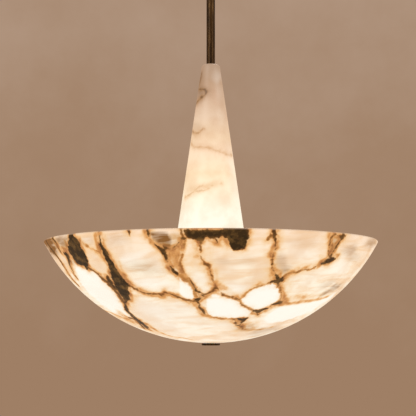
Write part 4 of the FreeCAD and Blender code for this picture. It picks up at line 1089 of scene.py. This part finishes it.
def thread_tree():
    """One helical ridge, standing on the origin and rising along Z."""
    tree, given = node_tree("thread_ridge", Radius="Float", Length="Float", Pitch="Float",
                            Ridge="Float")
    turns = put(tree, "ShaderNodeMath", {0: given["Length"], 1: given["Pitch"]},
                operation="DIVIDE")
    helix = put(tree, "GeometryNodeCurveSpiral",
                {"Resolution": 40, "Rotations": turns, "Start Radius": given["Radius"],
                 "End Radius": given["Radius"], "Height": given["Length"]})
    section = put(tree, "GeometryNodeCurvePrimitiveCircle",
                  {"Resolution": 6, "Radius": given["Ridge"]})
    ridge = put(tree, "GeometryNodeCurveToMesh",
                {"Curve": helix, "Profile Curve": section, "Fill Caps": True})
    return end_tree(tree, ridge, given["Material"])


def rib_tree():
    """A ring of equal ribs about Z, each leaning outwards by Lean."""
    tree, given = node_tree("rib_ring", Count="Int", Radius="Float", Length="Float",
                            Width="Float", Lean="Float")
    ring = put(tree, "GeometryNodeMeshCircle",
               {"Vertices": given["Count"], "Radius": given["Radius"]})
    rib = put(tree, "GeometryNodeMeshCylinder",
              {"Vertices": 6, "Radius": given["Width"], "Depth": given["Length"]})
    lean = put(tree, "ShaderNodeCombineXYZ", {1: given["Lean"]})
    rib = put(tree, "GeometryNodeTransform", {"Geometry": rib, "Rotation": lean})
    outward = put(tree, "GeometryNodeInputPosition")
    outward = put(tree, "FunctionNodeAlignRotationToVector", {"Vector": outward}, axis="X")
    ribs = put(tree, "GeometryNodeInstanceOnPoints",
               {"Points": ring, "Instance": rib, "Rotation": outward})
    return end_tree(tree, ribs, given["Material"])


def grow(name, tree, place, body, slot, **inputs):
    """Mesh piece from a geometry tree, put at its place and left without a modifier."""
    piece = bpy.data.objects.new(name, bpy.data.meshes.new(name))
    bpy.context.scene.collection.objects.link(piece)
    maker = piece.modifiers.new(name, "NODES")
    maker.node_group = tree
    for item in tree.interface.items_tree:
        if item.in_out == "INPUT":
            maker[item.identifier] = inputs[item.name]
    graph = bpy.context.evaluated_depsgraph_get()
    mesh = bpy.data.meshes.new_from_object(piece.evaluated_get(graph))
    piece.modifiers.remove(maker)
    piece.data = mesh
    mesh.name = name
    mesh.transform(place)
    mesh.shade_smooth()
    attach(piece, body)
    return piece


def make_details(finishes):
    thread, ribs = thread_tree(), rib_tree()
    for number, turn in enumerate(LAMP_TURNS, start=1):
        heading = math.radians(turn)
        along = Vector((math.cos(heading) * math.cos(LAMP_TILT),
                        math.sin(heading) * math.cos(LAMP_TILT), math.sin(LAMP_TILT)))
        aimed = along.to_track_quat("Z", "Y").to_matrix().to_4x4()
        body = "lamp_%d" % number
        foot = Matrix.Translation(Vector((0, 0, LAMP_LEVEL)) + along * CAP_START) @ aimed
        grow("cap_thread_%d" % number, thread, foot, body, "lamp_brass", Radius=CAP_RADIUS,
             Length=CAP_THREAD_LENGTH, Pitch=CAP_PITCH, Ridge=0.00040,
             Material=finishes["lamp_brass"])
        middle = along * (BODY_START + BODY_LENGTH / 2)
        waist = Matrix.Translation(Vector((0, 0, LAMP_LEVEL)) + middle) @ aimed
        grow("body_ribs_%d" % number, ribs, waist, body, "lamp_housing", Count=BODY_RIBS,
             Radius=(BODY_BASE + BODY_NECK) / 2, Length=BODY_LENGTH * 0.72, Width=0.0005,
             Lean=math.atan2(BODY_NECK - BODY_BASE, BODY_LENGTH),
             Material=finishes["lamp_housing"])
    low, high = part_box("bowl_rod")
    grow("rod_thread", thread, Matrix.Translation((0, 0, low[2] + MM)), "stem", "zinc_steel",
         Radius=ROD_RADIUS - 0.3 * MM, Length=high[2] - low[2] - 2 * MM, Pitch=ROD_PITCH,
         Ridge=0.00036, Material=finishes["zinc_steel"])
    low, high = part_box("finial")
    edge = low[2] + 1.7 * MM
    grow("finial_knurl", ribs, Matrix.Translation((0, 0, edge)), "finial", "aged_bronze",
         Count=FINIAL_TEETH, Radius=FINIAL_RADIUS - 0.2 * MM, Length=1.6 * MM, Width=0.0004,
         Lean=0.0, Material=finishes["aged_bronze"])

    # the canopy's mouth is rolled over a wire, as spun brass is
    low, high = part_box("canopy")
    roll = lathe("canopy_rolled_rim",
                 arc(high[0] + 0.4 * MM, high[2] - 1.7 * MM, 1.6 * MM, 0, 330, 12),
                 np.radians(np.linspace(0, 360, 128, endpoint=False)))
    roll.data.materials.append(finishes["aged_bronze"])
    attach(roll, "ceiling_plate")


# ---------------------------------------------------------------- stage
FLOOR_LEVEL = -1.60
FLOOR_HALF = 2.6


def make_floor():
    """Plain pale floor, well below the pendant."""
    mesh = bpy.data.meshes.new("studio_floor")
    corners = [(x, y, FLOOR_LEVEL) for x, y in ((-1, -1), (1, -1), (1, 1), (-1, 1))]
    mesh.from_pydata([(x * FLOOR_HALF, y * FLOOR_HALF, z) for x, y, z in corners], [],
                     [(0, 1, 2, 3)])
    floor = bpy.data.objects.new("studio_floor", mesh)
    bpy.context.scene.collection.objects.link(floor)
    material, tree, shader = new_material("pale_plaster_floor", Roughness=0.8)
    place = add(tree, "TexCoord", out="Object")
    grain = add(tree, "TexNoise", {"Vector": place, "Scale": 3.0, "Detail": 5.0})
    tone = add(tree, "ValToRGB", {"Fac": grain}, stops=((0.3, "#CFC2B3"), (0.7, "#DACFC2")))
    tree.links.new(tone, shader.inputs["Base Color"])
    mesh.materials.append(material)


def make_stage():
    scene = bpy.context.scene
    scene.view_settings.view_transform = "Standard"
    world = bpy.data.worlds.new("studio")
    scene.world = world
    world.use_nodes = True
    tree = world.node_tree
    background = tree.nodes["Background"]
    rays = [add(tree, "LightPath", out=name)
            for name in ("Is Camera Ray", "Is Glossy Ray", "Is Transmission Ray")]
    seen = add(tree, "Math", {0: rays[0], 1: rays[1]}, operation="MAXIMUM")
    seen = add(tree, "Math", {0: seen, 1: rays[2]}, operation="MAXIMUM")
    # a plastered wall in warm light: a little lighter towards the top, softly clouded
    heading = add(tree, "TexCoord", out="Generated")
    height = add(tree, "SeparateXYZ", {0: heading}, out="Z")
    cloud = add(tree, "TexNoise", {"Vector": heading, "Scale": 14.0, "Detail": 5.0,
                                   "Roughness": 0.6})
    cloud = add(tree, "MapRange", {0: cloud, 1: 0.3, 2: 0.7, 3: -0.06, 4: 0.06})
    height = add(tree, "Math", {0: height, 1: cloud}, operation="ADD")
    wall = add(tree, "ValToRGB", {"Fac": height},
               stops=((0.0, "#9F7F65"), (0.30, "#B0947E"), (0.12, "#A4856C")))
    mixed = add(tree, "Mix", {0: seen, 6: (0.72, 0.72, 0.72, 1.0), 7: wall}, out=2,
                data_type="RGBA")
    tree.links.new(mixed, background.inputs["Color"])
    background.inputs["Strength"].default_value = 1.0

    for name, spot, turn, size, power in (
            ("key_softbox", (-1.6, -1.8, 0.7), (58, 0, -42), 1.2, 26),
            ("fill_softbox", (1.9, -1.3, 0.1), (78, 0, 56), 1.4, 12),
            ("top_softbox", (0.2, 0.9, 1.2), (-30, 0, 0), 1.0, 12)):
        light = bpy.data.lights.new(name, "AREA")
        light.size = size
        light.energy = power
        lamp = bpy.data.objects.new(name, light)
        lamp.location = spot
        lamp.rotation_euler = Euler([math.radians(angle) for angle in turn])
        scene.collection.objects.link(lamp)


make_camera()
make_stage()
make_floor()
finishes = make_finishes()
dress_frame(finishes)
make_details(finishes)
make_bowl()
make_cone()
